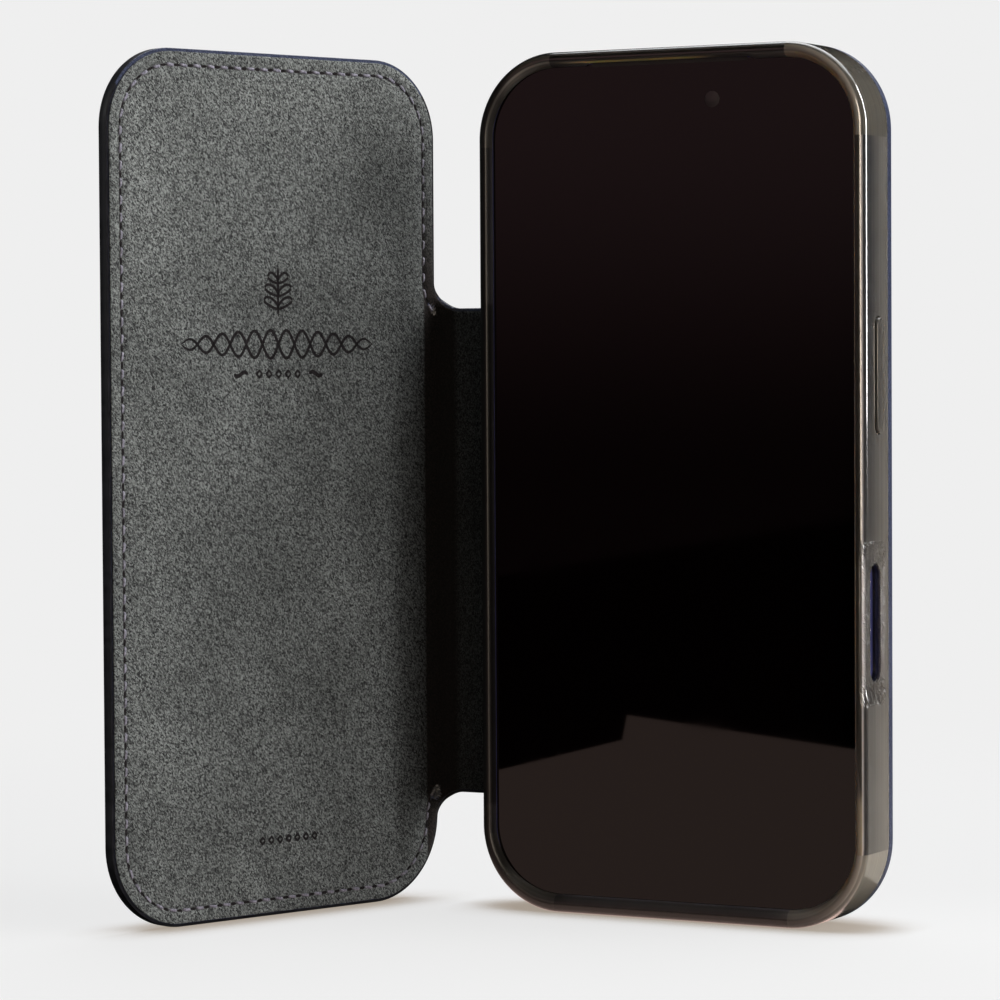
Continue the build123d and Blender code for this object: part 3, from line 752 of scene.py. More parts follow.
def layered_sheet(name, outline, levels, columns, materials, tones_of_levels, z_step=2.4, margin=0.5):
    """A closed sheet from one outline. levels are (inset, depth) from one face's middle, round the edge, to
    the other face's middle, and each face is filled inside its last level."""
    points, loops = [], []
    count = len(outline)
    for inset, depth in levels:
        loops.append(range(len(points), len(points) + count))
        points += [(*(p - n * inset), depth) for p, n in outline]
    faces, tones = [], []
    for lower, upper, tone in zip(loops, loops[1:], tones_of_levels):
        faces += join_rings(lower, upper)
        tones += [edge_tone(tone, outward) for _, outward in outline]
    for k, tone in ((0, tones_of_levels[0]), (len(levels) - 1, tones_of_levels[-1])):
        ring = [points[i][:2] for i in loops[k]]
        inner = fill_points(ring, columns, z_step, margin)
        places, known, triangles = triangulate(ring, inner, loop_edges(0, count))
        index = []
        for place, source in zip(places, known):
            if source is None:
                index.append(len(points))
                points.append((place.x, place.y, levels[k][1]))
            else:
                index.append(loops[k][source])
        faces += [tuple(index[v] for v in triangle) for triangle in triangles]
        tones += [tone] * len(triangles)
    vertices = [skin_point(*p) for p in points]
    return make_object(name, vertices, faces, materials, tones)


TOP_ONLY, FACING_UP = -1, 0.55
COLUMN_RUNS = ((-17.0, -8.0, 0.25), (-8.0, -2.4, 0.7), (-2.4, 3.2, 0.2), (3.2, COVER_W, 2.4))
COLUMN_MARGIN = 0.1


def edge_tone(tone, outward):
    """A band marked TOP_ONLY is leather along the top and painted edge elsewhere; keeping the leather to the
    top is painted light.
    """
    if tone != TOP_ONLY:
        return tone
    return 0 if outward[1] > FACING_UP else 1


def columns_for(u_low, u_high):
    """Close columns through the folds and wider ones elsewhere."""
    columns = np.unique(np.round(np.concatenate([np.arange(*run) for run in COLUMN_RUNS]), 3))
    return columns[(columns > u_low + COLUMN_MARGIN) & (columns < u_high - COLUMN_MARGIN)]


SPLIT_U = -5.2
CASE_END_U = FOLD_START_U - ((-CASE_HALF + 0.7) - SPINE_START_X)
LINING_SHARE = 0.14
SEAM_INSET = 2.95
GROOVE = ((3.45, 0.0), (3.20, 0.05), (2.95, 0.12), (2.70, 0.05), (2.45, 0.0))


def leather_levels():
    """From the hidden face under the lining, round the painted edge, to the outside."""
    hidden = [(4.0, LINING_SHARE), (0.5, LINING_SHARE)]
    edge = [(0.08, LINING_SHARE), (0.0, LINING_SHARE + 0.05), (0.0, 0.55), (0.0, 0.90)]
    edge += [(0.04, 0.95), (0.13, 0.985), (0.30, 1.0)]
    seam = [(inset, 1.0 - dip) for inset, dip in reversed(GROOVE)]
    levels = hidden + edge + seam
    # Painted light: the shelf is navy leather where it faces up and black edge paint at the sides.
    tones = [0, TOP_ONLY, TOP_ONLY, 1, 1, 1] + [0] * (len(levels) - 6)
    return levels, tones


def lining_levels():
    hidden = [(3.2, LINING_SHARE), (0.72, LINING_SHARE)]
    edge = [(0.62, LINING_SHARE * 0.8), (0.60, LINING_SHARE * 0.35), (0.66, 0.02), (0.82, 0.0)]
    levels = hidden + edge + [(inset, dip) for inset, dip in reversed(GROOVE)]
    return levels, [1, 1, 1] + [0] * (len(levels) - 3)


def skins():
    """The leather and its lining: one pair from mid-spine over the cover, one from the case to mid-spine."""
    pieces = {}
    sides = {
        "cover": (cover_outline(SPLIT_U), columns_for(SPLIT_U, COVER_W)),
        "spine": (spine_strip_outline(CASE_END_U, SPLIT_U), columns_for(CASE_END_U, SPLIT_U)),
    }
    for side, (outline, columns) in sides.items():
        levels, tones = leather_levels()
        leather, lining = ([MATERIALS[kind], MATERIALS["edge"]] for kind in ("leather", "microfibre"))
        name = f"{side}_leather_skin"
        pieces[side, "leather"] = layered_sheet(name, outline, levels, columns, leather, tones)
        levels, tones = lining_levels()
        name = f"{side}_microfibre_sheet"
        pieces[side, "lining"] = layered_sheet(name, outline, levels, columns, lining, tones)
    return pieces


def crossing_blend(piece, part):
    """Bakes a piece of the skin's place into its mesh, whichever part it is; nothing bends it with the fold.
    """
    if part == "cover":
        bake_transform(piece)
    else:
        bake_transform(piece)


# ---------------------------------------------------------------- stitching
STITCH_PITCH, STITCH_L, STITCH_W, STITCH_RISE = 3.0, 1.8, 0.52, 0.20
STITCH_SINK, STITCH_THICK, STITCH_RIDGE, STITCH_TWIST = 0.16, 0.17, 0.10, 9.0
STITCH_RINGS, STITCH_SIDES, STITCH_DEPTH = 11, 8, 0.06
HIDDEN_SEAM_U = 0.6
HOLE_L, HOLE_W, HOLE_SIDES = 0.62, 0.30, 10
HOLE_PROFILE = ((0.0, 0.05), (1.0, 0.03), (0.0, -0.15))


def seam_line(outline, inset):
    """The seam's points in u and z, close together."""
    return [p - n * inset for p, n in outline]


def resample(points, pitch):
    points = np.asarray(points)
    lengths = np.concatenate([[0], np.cumsum(np.linalg.norm(np.diff(points, axis=0), axis=1))])
    count = max(1, int(round(lengths[-1] / pitch)))
    at = (np.arange(count) + 0.5) * lengths[-1] / count
    spots = np.stack([np.interp(at, lengths, points[:, k]) for k in (0, 1)], axis=1)
    ahead = np.stack([np.interp(at + 0.4, lengths, points[:, k]) for k in (0, 1)], axis=1)
    behind = np.stack([np.interp(at - 0.4, lengths, points[:, k]) for k in (0, 1)], axis=1)
    along = ahead - behind
    return spots, along / np.linalg.norm(along, axis=1, keepdims=True)


def thread_ring(u, z, along, t, length, width, lean, depth, up):
    """One ring of a stitch, t from -1 at its start to 1 at its end."""
    du, dz = along
    swell = math.sqrt(max(0.0, 1 - t ** 6)) * 0.92 + 0.08
    lift = STITCH_RISE * (1 - t ** 4) - STITCH_SINK * t ** 4
    ring = []
    for k in range(STITCH_SIDES):
        angle = 2 * math.pi * k / STITCH_SIDES
        ridge = 1 + STITCH_RIDGE * math.cos(2 * angle + t * STITCH_TWIST)
        sideways = math.cos(angle) * width / 2 * swell * ridge + lean * t
        height = lift + math.sin(angle) * STITCH_THICK * swell * ridge
        uu = u + du * t * length / 2 - dz * sideways
        x, y, zz = skin_point(uu, z + dz * t * length / 2 + du * sideways, depth)
        outward = bent(uu)[1]
        ring.append((x + up * outward[0] * height, y + up * outward[1] * height, zz))
    return ring


def stitch_mesh(line, rng, depth, up):
    """Twisted threads along a line. depth is that of their feet in the skin, near 0 on the lining and near 1
    on the leather, and up is -1 or 1 there, the way out of the skin."""
    vertices, faces = [], []
    spots, along = resample(line, STITCH_PITCH)
    for (u, z), direction in zip(spots, along):
        if up < 0 and u < HIDDEN_SEAM_U:
            continue
        lean = rng.uniform(-0.05, 0.05) + 0.10
        length = STITCH_L * rng.uniform(0.94, 1.05)
        width = STITCH_W * rng.uniform(0.92, 1.08)
        rings = []
        for i in range(STITCH_RINGS):
            t = i / (STITCH_RINGS - 1) * 2 - 1
            rings.append(range(len(vertices), len(vertices) + STITCH_SIDES))
            vertices += thread_ring(u, z, direction, t, length, width, lean, depth, up)
        for a, b in zip(rings, rings[1:]):
            faces += join_rings(a, b)
        faces += [tuple(reversed(rings[0])), tuple(rings[-1])]
    return vertices, faces


def needle_holes(line):
    """Small dimples between the stitches of the lining, dark with painted shade: a point, a ring and a point
    behind it.
    """
    vertices, faces = [], []
    spots, along = resample(line, STITCH_PITCH)
    for (u, z), (du, dz) in zip(spots, along):
        if u < HIDDEN_SEAM_U:
            continue
        first, outward = len(vertices), bent(u)[1]
        for share, height in HOLE_PROFILE:
            for k in range(HOLE_SIDES if share else 1):
                angle = 2 * math.pi * k / HOLE_SIDES
                a = HOLE_L * share * math.cos(angle) + STITCH_PITCH / 2
                b = HOLE_W * share * math.sin(angle)
                x, y, zz = skin_point(u + du * a - dz * b, z + dz * a + du * b, STITCH_DEPTH)
                vertices.append((x - outward[0] * height, y - outward[1] * height, zz))
        for k in range(HOLE_SIDES):
            here, ahead = first + 1 + k, first + 1 + (k + 1) % HOLE_SIDES
            faces += [(first, here, ahead), (first + 1 + HOLE_SIDES, ahead, here)]
    return vertices, faces


def append_mesh(vertices, faces, more, more_faces):
    faces += [tuple(i + len(vertices) for i in face) for face in more_faces]
    vertices += more


def stitching():
    rng = random.Random(SEED)
    lines = {"cover": [seam_line(cover_outline(SPLIT_U, 1.0, 0.5), SEAM_INSET)], "spine": []}
    for z in (SPINE_HIGH - SEAM_INSET, SPINE_LOW + SEAM_INSET):
        lines["spine"].append([np.array([CASE_END_U + 0.8, z]), np.array([SPLIT_U, z])])
    for part, routes in lines.items():
        vertices, faces = [], []
        for route in routes:
            for depth, up in ((STITCH_DEPTH, -1.0), (1 - STITCH_DEPTH, 1.0)):
                append_mesh(vertices, faces, *stitch_mesh(route, rng, depth, up))
        tones = [0] * len(faces)
        for route in routes:
            append_mesh(vertices, faces, *needle_holes(route))
        # The needle holes take the dark stamp colour as painted shade.
        tones += [1] * (len(faces) - len(tones))
        materials = [MATERIALS["thread"], MATERIALS["stamp"]]
        piece = make_object(f"{part}_stitching", vertices, faces, materials, tones)
        crossing_blend(piece, part)
        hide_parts(f"{part}_thread")


# ---------------------------------------------------------------- the stamped ornament
ORNAMENT_U, SPRIG_Z, BRAID_Z, ROW_Z = 37.5, 108.0, 102.2, 96.9
FOOT_ROW_U, FOOT_ROW_Z = 36.0, 13.6
BRAID_HALF, BRAID_SWELL = 22.0, 2.5
LEAF_RISE, LEAF_LINE, BRAID_LINE, WAVE_LINE, LOZENGE_LINE = 0.42, 0.48, 0.55, 0.75, 0.42
STAMP_HEIGHT, STAMP_DEPTH = -0.010, 0.02


def ribbon(points, width):
    """A flat stroke with tapered ends along points in u and z."""
    points = np.asarray(points, float)
    tangent = np.gradient(points, axis=0)
    tangent /= np.linalg.norm(tangent, axis=1, keepdims=True)
    across = np.stack([-tangent[:, 1], tangent[:, 0]], axis=1)
    count = len(points)
    t = np.linspace(-1, 1, count)
    half = width / 2 * np.sqrt(np.clip(1.02 - t ** 8, 0.02, 1))[:, None]
    return points + across * half, points - across * half


def leaf_edge(u, reach, z, bulge):
    """One edge of a leaf that rises outward from the stem."""
    out = []
    for a in np.linspace(0, math.pi, 14):
        share = (1 - math.cos(a)) / 2
        out.append((u + reach * share, z + bulge * math.sin(a) + LEAF_RISE * abs(reach) * share))
    return out


def braid_strand(phase):
    t = np.linspace(-1, 1, 220)
    swell = BRAID_SWELL * (1 - 0.75 * t ** 2)
    return np.stack([ORNAMENT_U + BRAID_HALF * t, BRAID_Z + swell * np.sin(t * 6 * math.pi + phase)], axis=1)


def wave(side):
    turns = np.linspace(0, 1, 14)
    return [(ORNAMENT_U + side * (7.0 + 3.2 * t), ROW_Z + 0.35 * math.sin(t * 2 * math.pi)) for t in turns]


def stamp_strokes():
    """A generic ornament, as (points, width): a sprig, a braided band under it, five lozenges between two
    waves, and a row of seven lozenges near the foot."""
    stem = [(ORNAMENT_U, SPRIG_Z - 0.9 + 9.0 * t) for t in np.linspace(0, 1, 12)]
    strokes = [(stem, 0.52)]
    for side in (-1, 1):
        for k, size in enumerate((3.2, 3.0, 2.3)):
            base = SPRIG_Z + 0.6 + 2.3 * k
            for bulge in (1.15, -0.35):
                strokes.append((leaf_edge(ORNAMENT_U, side * size, base, bulge), LEAF_LINE))
    strokes += [(braid_strand(phase), BRAID_LINE) for phase in (0, math.pi)]
    strokes += [(wave(side), WAVE_LINE) for side in (-1, 1)]
    strokes += [(lozenge(ORNAMENT_U + 2.2 * k, ROW_Z, 0.65), LOZENGE_LINE) for k in range(-2, 3)]
    strokes += [(lozenge(FOOT_ROW_U + 2.0 * k, FOOT_ROW_Z, 0.60), LOZENGE_LINE) for k in range(-3, 4)]
    return strokes


def lozenge(u, z, size):
    corners = [(u - size, z), (u, z + size), (u + size, z), (u, z - size), (u - size, z)]
    out = []
    for a, b in zip(corners, corners[1:]):
        out += line_points(a, b, 0.15)
    out.append(np.array(corners[0]))
    return out


def ornament():
    vertices, faces = [], []
    for line, width in stamp_strokes():
        rings = []
        for a, b in zip(*ribbon(line, width)):
            rings.append(range(len(vertices), len(vertices) + 4))
            for (u, z), depth in ((a, STAMP_HEIGHT), (b, STAMP_HEIGHT), (b, STAMP_DEPTH), (a, STAMP_DEPTH)):
                vertices.append(skin_point(u, z, depth))
        for a, b in zip(rings, rings[1:]):
            faces += join_rings(a, b)
        faces += [tuple(rings[0]), tuple(rings[-1])]
    piece = make_object("cover_stamped_ornament", vertices, faces, [MATERIALS["stamp"]])
    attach(piece, "cover")


# ---------------------------------------------------------------- the bumper
PADS = [name for name in frame["nodes"] if name.endswith("_pad")]
WALL = 1.9
LIP_SIDE, LIP_TOP, LIP_BOTTOM = 2.3, 2.7, 3.2
EARPIECE_HALF, EARPIECE_RISE = 15.5, 0.5
CUSHION_T, CUSHION_HALF = 0.9, 3.6
LIP_ROUND, LIP_CREST, LIP_STEPS = 1.5, 1.5, 12
TONGUE_T, DIP_REACH, BUMPER_STEP, BUMPER_SHARP = 0.8, 1.3, 0.6, 35
PAD_RIM, PAD_W, PAD_GAP = 1.6, 2.8, 0.25
PAD_PROFILE = ((0.0, 1.78), (0.0, 0.22), (0.03, 0.10), (0.10, 0.02), (0.22, -0.03), (0.5, -0.07),
               (0.9, -0.09), (1.15, -0.10))
PORTS = ((0.0, 13.5, 6.0), (-15.5, 12.0, 2.6), (15.5, 12.0, 2.6))


def bumper_section(lip):
    """(inset, y) round the wall: outside, lip, its slope to the screen, the bay's wall and the tongue."""
    low = Y_GLASS - 0.03
    quarters = [k / LIP_STEPS * math.pi / 2 for k in range(LIP_STEPS + 1)]
    out = [(0.0, y) for y in np.arange(Y_EDGE - 0.12, Y_LIP + LIP_ROUND, -0.55)]
    out += [(LIP_ROUND * (1 - math.cos(a)), Y_LIP + LIP_ROUND * (1 - math.sin(a))) for a in quarters]
    reach, drop = lip - LIP_CREST, low - 0.2 - Y_LIP
    out += [(LIP_CREST + reach * math.sin(a), Y_LIP + drop * (1 - math.cos(a))) for a in quarters[1:]]
    out += [(lip, low), (lip - 0.12, low + 0.04), (WALL + 0.02, low + 0.06)]
    bay_wall = [*np.linspace(low + 0.3, -CUSHION_HALF - 0.06, 3), -CUSHION_HALF + 0.06, 0.0]
    out += [(WALL, y) for y in (*bay_wall, CUSHION_HALF - 0.06, CUSHION_HALF + 0.06, Y_EDGE + 0.62)]
    tongue = WALL - TONGUE_T
    return out + [(tongue, Y_EDGE + 0.62), (tongue, Y_EDGE), (0.30, Y_EDGE), (0.06, Y_EDGE - 0.05)]


def stadium_distance(y, z, centre_y, centre_z, length, width):
    """How far a point on a side wall lies outside a round-ended slot."""
    dz = np.maximum(np.abs(z - centre_z) - (length - width) / 2, 0.0)
    return np.hypot(dz, y - centre_y) - width / 2


def wall_dip(side, y, z):
    """How far the right outer wall lies in from flat: the hollow round the slot and the slot's rim."""
    if side < 0:
        return 0.0
    along = 1 - smooth(SCOOP_HALF - SCOOP_RAMP, SCOOP_HALF, abs(z - SLOT_Z))
    back = 1 - smooth(1.9, 3.0, y)
    rim = rolled_rim(stadium_distance(y, z, SLOT_Y, SLOT_Z, SLOT_L, SLOT_D), 0.15)
    return SCOOP_DEPTH * float(along * back) + rim


def rolled_rim(distance, radius):
    d = float(np.clip(distance, 0.0, radius))
    return radius - math.sqrt(radius ** 2 - (radius - d) ** 2) if d < radius else 0.0


def lip_width(x, nz):
    """How far the lip reaches in: furthest at the top and the foot, less beside the earpiece."""
    lip = LIP_SIDE + (LIP_TOP - LIP_SIDE) * max(nz, 0) ** 2 + (LIP_BOTTOM - LIP_SIDE) * max(-nz, 0) ** 2
    if nz > 0.9:
        lip -= EARPIECE_RISE * float(1 - smooth(EARPIECE_HALF, EARPIECE_HALF + 1.2, abs(x)))
    return lip


def wall_point(x, z, nx, nz, inset, y):
    """A point of the section, moved for the hollow round the slot or for the cushion in a corner."""
    if inset < DIP_REACH and y < Y_EDGE + 0.01 and abs(nx) > 0.999:
        inset += wall_dip(nx, y, z) * (1 - inset / DIP_REACH)
    corner = abs(nx) > 1e-6 and abs(nz) > 1e-6
    if corner and abs(inset - WALL) < 1e-6 and abs(y) < CUSHION_HALF:
        inset = WALL - CUSHION_T
    return (x - nx * inset, y, z - nz * inset)


def bumper():
    outline = rounded_rectangle(2 * CASE_HALF, CASE_H, CASE_R, (0, CASE_H / 2), BUMPER_STEP, BUMPER_STEP)
    vertices, faces, sections = [], [], []
    for (x, z), (nx, nz) in outline:
        section = bumper_section(lip_width(x, nz))
        sections.append(range(len(vertices), len(vertices) + len(section)))
        vertices += [wall_point(x, z, nx, nz, inset, y) for inset, y in section]
    for a, b in zip(sections, sections[1:] + sections[:1]):
        faces += [(a[k], b[k], b[(k + 1) % len(b)], a[(k + 1) % len(a)]) for k in range(len(a))]
    piece = make_object("bumper_shell", vertices, faces, [MATERIALS["bumper"]], smooth_angle=BUMPER_SHARP)
    difference(piece, bumper_cutters())
    piece.data.set_sharp_from_angle(angle=math.radians(BUMPER_SHARP))
    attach(piece, "case_body")
    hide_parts("bumper_frame", "screen_lip")
    return piece


def prism(vertices, faces, outline, place):
    """Adds a straight bar whose ends are an outline; place turns (a, b, 0 or 1) into a point."""
    count = len(outline)
    near, far = (range(len(vertices) + end * count, len(vertices) + (end + 1) * count) for end in (0, 1))
    for end in (0, 1):
        vertices += [place(a, b, end) for a, b in outline]
    faces += join_rings(near, far)
    faces += [tuple(reversed(near)), tuple(far)]


def stadium(length, width, centre):
    """Outline of a round-ended bar along the second axis."""
    a0, b0 = centre
    straight_half, r, steps = (length - width) / 2, width / 2, 24
    out = []
    for start, way in ((0.0, 1), (math.pi, -1)):
        for k in range(steps + 1):
            t = start + math.pi * k / steps
            out.append((a0 + r * math.cos(t), b0 + way * straight_half + r * math.sin(t)))
    return out


def pad_place(name):
    """A pad's side, how far out it reaches, its length without its rim and the height of its middle."""
    low, high = millimetres(name)
    side = 1 if high[0] > 0 else -1
    return side, max(abs(low[0]), abs(high[0])), high[2] - low[2] - PAD_RIM, (low[2] + high[2]) / 2


def bumper_cutters():
    """The slot, the pads' windows and the openings in the foot, as one cutting mesh."""
    vertices, faces = [], []
    inner, outer = CASE_HALF - WALL - 0.6, CASE_HALF + 2.0
    bars = [(1, stadium(SLOT_L, SLOT_D, (SLOT_Y, SLOT_Z)))]
    for name in PADS:
        side, _, length, middle = pad_place(name)
        bars.append((side, stadium(length + 2 * PAD_GAP, PAD_W + 0.6, (0.0, middle))))
    for side, outline in bars:
        prism(vertices, faces, outline, lambda a, b, end: (side * (inner + (outer - inner) * end), a, b))
    for x, width, depth in PORTS:
        port = stadium(width, depth, (0.0, x))
        prism(vertices, faces, port, lambda a, b, end: (b, a, -2.0 + 4.6 * end))
    return make_object("bumper_cutters", vertices, faces, [MATERIALS["bumper"]])


def pads():
    """Crowned pads with rounded rims, over their windows in the wall."""
    for name in PADS:
        side, crown, length, middle = pad_place(name)
        vertices, faces, rings = [], [], []
        for inset, drop in PAD_PROFILE:
            outline = stadium(length - 2 * inset, PAD_W - 2 * inset, (0.0, middle))
            rings.append(range(len(vertices), len(vertices) + len(outline)))
            vertices += [(side * (crown - drop), a, b) for a, b in outline]
        for lower, upper in zip(rings, rings[1:]):
            faces += join_rings(lower, upper)
        faces += [tuple(rings[0]), tuple(rings[-1])]
        piece = make_object(f"{name}_blister", vertices, faces, [MATERIALS["bumper"]], smooth_angle=50)
        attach(piece, name)
        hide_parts(name)


# ---------------------------------------------------------------- the back and the bay's lining
def camera_window():
    low, high = millimetres("camera_surround")
    size, middle = high - low, (low + high) / 2
    return rounded_rectangle(size[0] + 0.1, size[2] + 0.1, WINDOW_R, (middle[0], middle[2]), 2.0, 0.6)


def face_fill(border, hole_line):
    """Inner points of a face, away from its window."""
    low, high = hole_line.min(axis=0) - 1, hole_line.max(axis=0) + 1
    inner = fill_points(border, np.arange(-36, 36.1, 3.0), 3.0, 1.0)
    return [p for p in inner if not (low[0] < p[0] < high[0] and low[1] < p[1] < high[1])]


def windowed_sheet(name, outline, outer, window, hole, materials, tones):
    """A closed sheet with a window. outer and hole are (inset, y) from the front face to the back face.
    tones are the materials of the outer bands, the window's edge, the front face and the back face."""
    outer_tones, hole_tone, *face_tones = tones
    vertices, faces, used = [], [], []

    def rings(loop, profile, band_tones):
        made = []
        for inset, y in profile:
            made.append(range(len(vertices), len(vertices) + len(loop)))
            vertices.extend((p[0] - n[0] * inset, y, p[1] - n[1] * inset) for p, n in loop)
        for a, b, tone in zip(made, made[1:], band_tones):
            faces.extend(join_rings(a, b))
            used.extend([tone] * len(loop))
        return made[0], made[-1]

    outer_ends = rings(outline, outer, outer_tones)
    hole_ends = rings(window, hole, [hole_tone] * len(hole))
    for rim, cut, tone in zip(outer_ends, hole_ends, face_tones):
        known = [*rim, *cut]
        flat = [Vector((vertices[i][0], vertices[i][2])) for i in known]
        line = np.array([tuple(p) for p in flat])
        border, hole_line = line[:len(rim)], line[len(rim):]
        edges = loop_edges(0, len(rim)) + loop_edges(len(rim), len(cut))
        places, sources, triangles = triangulate(flat, face_fill(border, hole_line), edges)
        index = []
        for place, source in zip(places, sources):
            if source is None:
                index.append(len(vertices))
                vertices.append((place.x, vertices[rim[0]][1], place.y))
            else:
                index.append(known[source])
        for triangle in triangles:
            centre = sum((places[v] for v in triangle), Vector((0, 0))) / 3
            if not inside_loop(hole_line, centre.x, centre.y):
                faces.append(tuple(index[v] for v in triangle))
                used.append(tone)
    piece = make_object(name, vertices, faces, materials, used)
    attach(piece, "case_body")
    return piece


def back_skin():
    """The leather over the plate: turned down at its edge, cut out for the camera."""
    outline = rounded_rectangle(2 * CASE_HALF, CASE_H, CASE_R, (0, CASE_H / 2), 2.0, 0.8)
    under = Y_BACK - 0.68
    outer = [(1.2, under), (1.15, Y_EDGE + 0.7), (1.1, Y_EDGE + 0.05), (0.1, Y_EDGE), (0.0, Y_EDGE + 0.10),
             (0.0, Y_EDGE + 0.9)]
    for k in range(6):
        a = k / 5 * math.pi / 2
        outer.append((0.7 * (1 - math.cos(a)), Y_BACK - 0.7 * (1 - math.sin(a))))
    hole = [(0.0, under), (0.0, Y_BACK - 0.15), (-0.15, Y_BACK)]
    tones = ([1, 1, 1] + [0] * len(outer), 1, 1, 0)
    materials = [MATERIALS["leather"], MATERIALS["edge"]]
    piece = windowed_sheet("back_leather_skin", outline, outer, camera_window(), hole, materials, tones)
    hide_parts("back_leather")
    return piece


def bay_sheet():
    """The microfibre behind the phone, glued to the plate."""
    low, high = millimetres("bay_lining")
    front, back = low[1], high[1]
    size, middle = high - low, (low[2] + high[2]) / 2
    outline = rounded_rectangle(size[0], size[2], BAY_R, (0, middle), 2.0, 0.8)
    outer = [(0.30, front), (0.06, front + 0.04), (0.0, front + 0.12), (0.0, back - 0.10), (0.10, back)]
    hole = [(-0.25, front), (0.0, front + 0.10), (0.0, back - 0.10), (-0.10, back)]
    tones = ([0] * len(outer), 0, 0, 0)
    lining = [MATERIALS["microfibre"]]
    piece = windowed_sheet("bay_microfibre_sheet", outline, outer, camera_window(), hole, lining, tones)
    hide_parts("bay_lining")


# ---------------------------------------------------------------- phone details
def earpiece():
    """The dark slit of the earpiece, along the top edge of the screen."""
    top, height, thick = CASE_H - LIP_TOP + EARPIECE_RISE - 0.02, 0.7, 0.3
    vertices, faces = [], []
    outline = [(b, a) for a, b in stadium(2 * EARPIECE_HALF - 0.4, height, (0.0, 0.0))]
    front, middle = Y_GLASS - 0.02, top - height / 2
    prism(vertices, faces, outline, lambda a, b, end: (a, front + thick * end, middle + b))
    piece = make_object("earpiece_slit", vertices, faces, [MATERIALS["hard_plate"]])
    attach(piece, "phone")


CAMERA_SIDES = 48


def front_camera():
    """The camera under the glass: a plain dim disc with a slightly rounded edge."""
    low, high = millimetres("phone_front_camera")
    middle, radius = (low + high) / 2, (high[0] - low[0]) / 2
    x, y, z = middle[0], low[1], middle[2]
    vertices, faces, rings = [], [], []
    turns = np.arange(CAMERA_SIDES) * 2 * math.pi / CAMERA_SIDES
    for r, drop in ((radius, 0.9), (radius, 0.02), (radius - 0.06, 0.0)):
        rings.append(range(len(vertices), len(vertices) + CAMERA_SIDES))
        vertices += [(x + r * math.cos(a), y + drop, z + r * math.sin(a)) for a in turns]
    for a, b in zip(rings, rings[1:]):
        faces += join_rings(a, b)
    faces += [tuple(rings[0]), tuple(rings[-1])]
    disc = dark_glass_material("camera_barrel", (0.044, 0.031, 0.036), 0.5)
    piece = make_object("front_camera_lens", vertices, faces, [disc], smooth_angle=30)
    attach(piece, "phone")
    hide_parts("phone_front_camera")


# ---------------------------------------------------------------- stage, light and camera
# The camera's place in metres, its yaw, pitch and roll in radians, and its lens in millimetres.
CAMERA_PLACE, CAMERA_TURN, CAMERA_LENS = (0.31362, -0.63103, 0.09934), (0.50709, -0.03548, -0.005947), 143.03


def set_camera():
    """Low and to the right of the case, with a long lens."""
    yaw, pitch, roll = CAMERA_TURN
    forward = Vector((-math.sin(yaw) * math.cos(pitch), math.cos(yaw) * math.cos(pitch), math.sin(pitch)))
    level = Vector((math.cos(yaw), math.sin(yaw), 0.0))
    upright = level.cross(forward)
    right = level * math.cos(roll) + upright * math.sin(roll)
    up = upright * math.cos(roll) - level * math.sin(roll)
    camera = bpy.data.cameras.new("camera")
    camera.lens, camera.sensor_width = CAMERA_LENS, 36.0
    camera.clip_start, camera.clip_end = 0.05, 50.0
    obj = bpy.data.objects.new("camera", camera)
    rotation = Matrix((right, up, -forward)).transposed()
    obj.matrix_world = Matrix.Translation(CAMERA_PLACE) @ rotation.to_4x4()
    bpy.context.scene.collection.objects.link(obj)
    bpy.context.scene.camera = obj


def area_light(name, place, aim, size, power, colour):
    light = bpy.data.lights.new(name, "AREA")
    light.shape = "RECTANGLE"
    light.size, light.size_y = size
    light.energy = power
    light.color = colour
    obj = bpy.data.objects.new(name, light)
    direction = Vector(aim) - Vector(place)
    obj.matrix_world = Matrix.Translation(place) @ direction.to_track_quat("-Z", "Y").to_matrix().to_4x4()
    bpy.context.scene.collection.objects.link(obj)
    return obj


# The floor gives off the backdrop's own grey. Near the case it gives off less, as the lamps light it there.
BACKGROUND, FLOOR_ALBEDO, FLOOR_LIT, KEYED = 0.863, 0.12, 0.098, 0.037
FLOOR_NEAR, FLOOR_FAR, KEYED_Y = 0.15, 0.42, (-0.035, 0.045)
CONTACT_REACH, OPEN_SKY = 12.0, (0.98, 0.55)
SWEEP_SIZE, SWEEP_CURVE, SWEEP_BACK, SWEEP_TURN = 3000.0, 500.0, 900.0, 0.507


def floor_material():
    m = Nodes("studio_floor", 0.9, Specular_IOR_Level=0.0)
    distance = m.output("ShaderNodeVectorMath", "Value", {}, {0: m.coords}, operation="LENGTH")
    near = m.range(distance, FLOOR_FAR, FLOOR_NEAR)
    m.colour(m.mix(near, 0.0, FLOOR_ALBEDO))
    keyed = m.mix(m.range(m.axis("Y"), *KEYED_Y), FLOOR_LIT, FLOOR_LIT + KEYED)
    m.link(m.minus(BACKGROUND, m.times(near, keyed)), m.shader.inputs["Emission Strength"])
    # Painted contact shadow: ambient occlusion dims and warms the floor's glow near the case.
    reach = {"Distance": CONTACT_REACH * MM}
    contact = m.output("ShaderNodeAmbientOcclusion", "AO", reach, {}, samples=8)
    shaded = m.mix(m.range(contact, *OPEN_SKY), (1.0, 1.0, 1.0), (0.50, 0.43, 0.36))
    m.link(shaded, m.shader.inputs["Emission Color"])
    return m.material


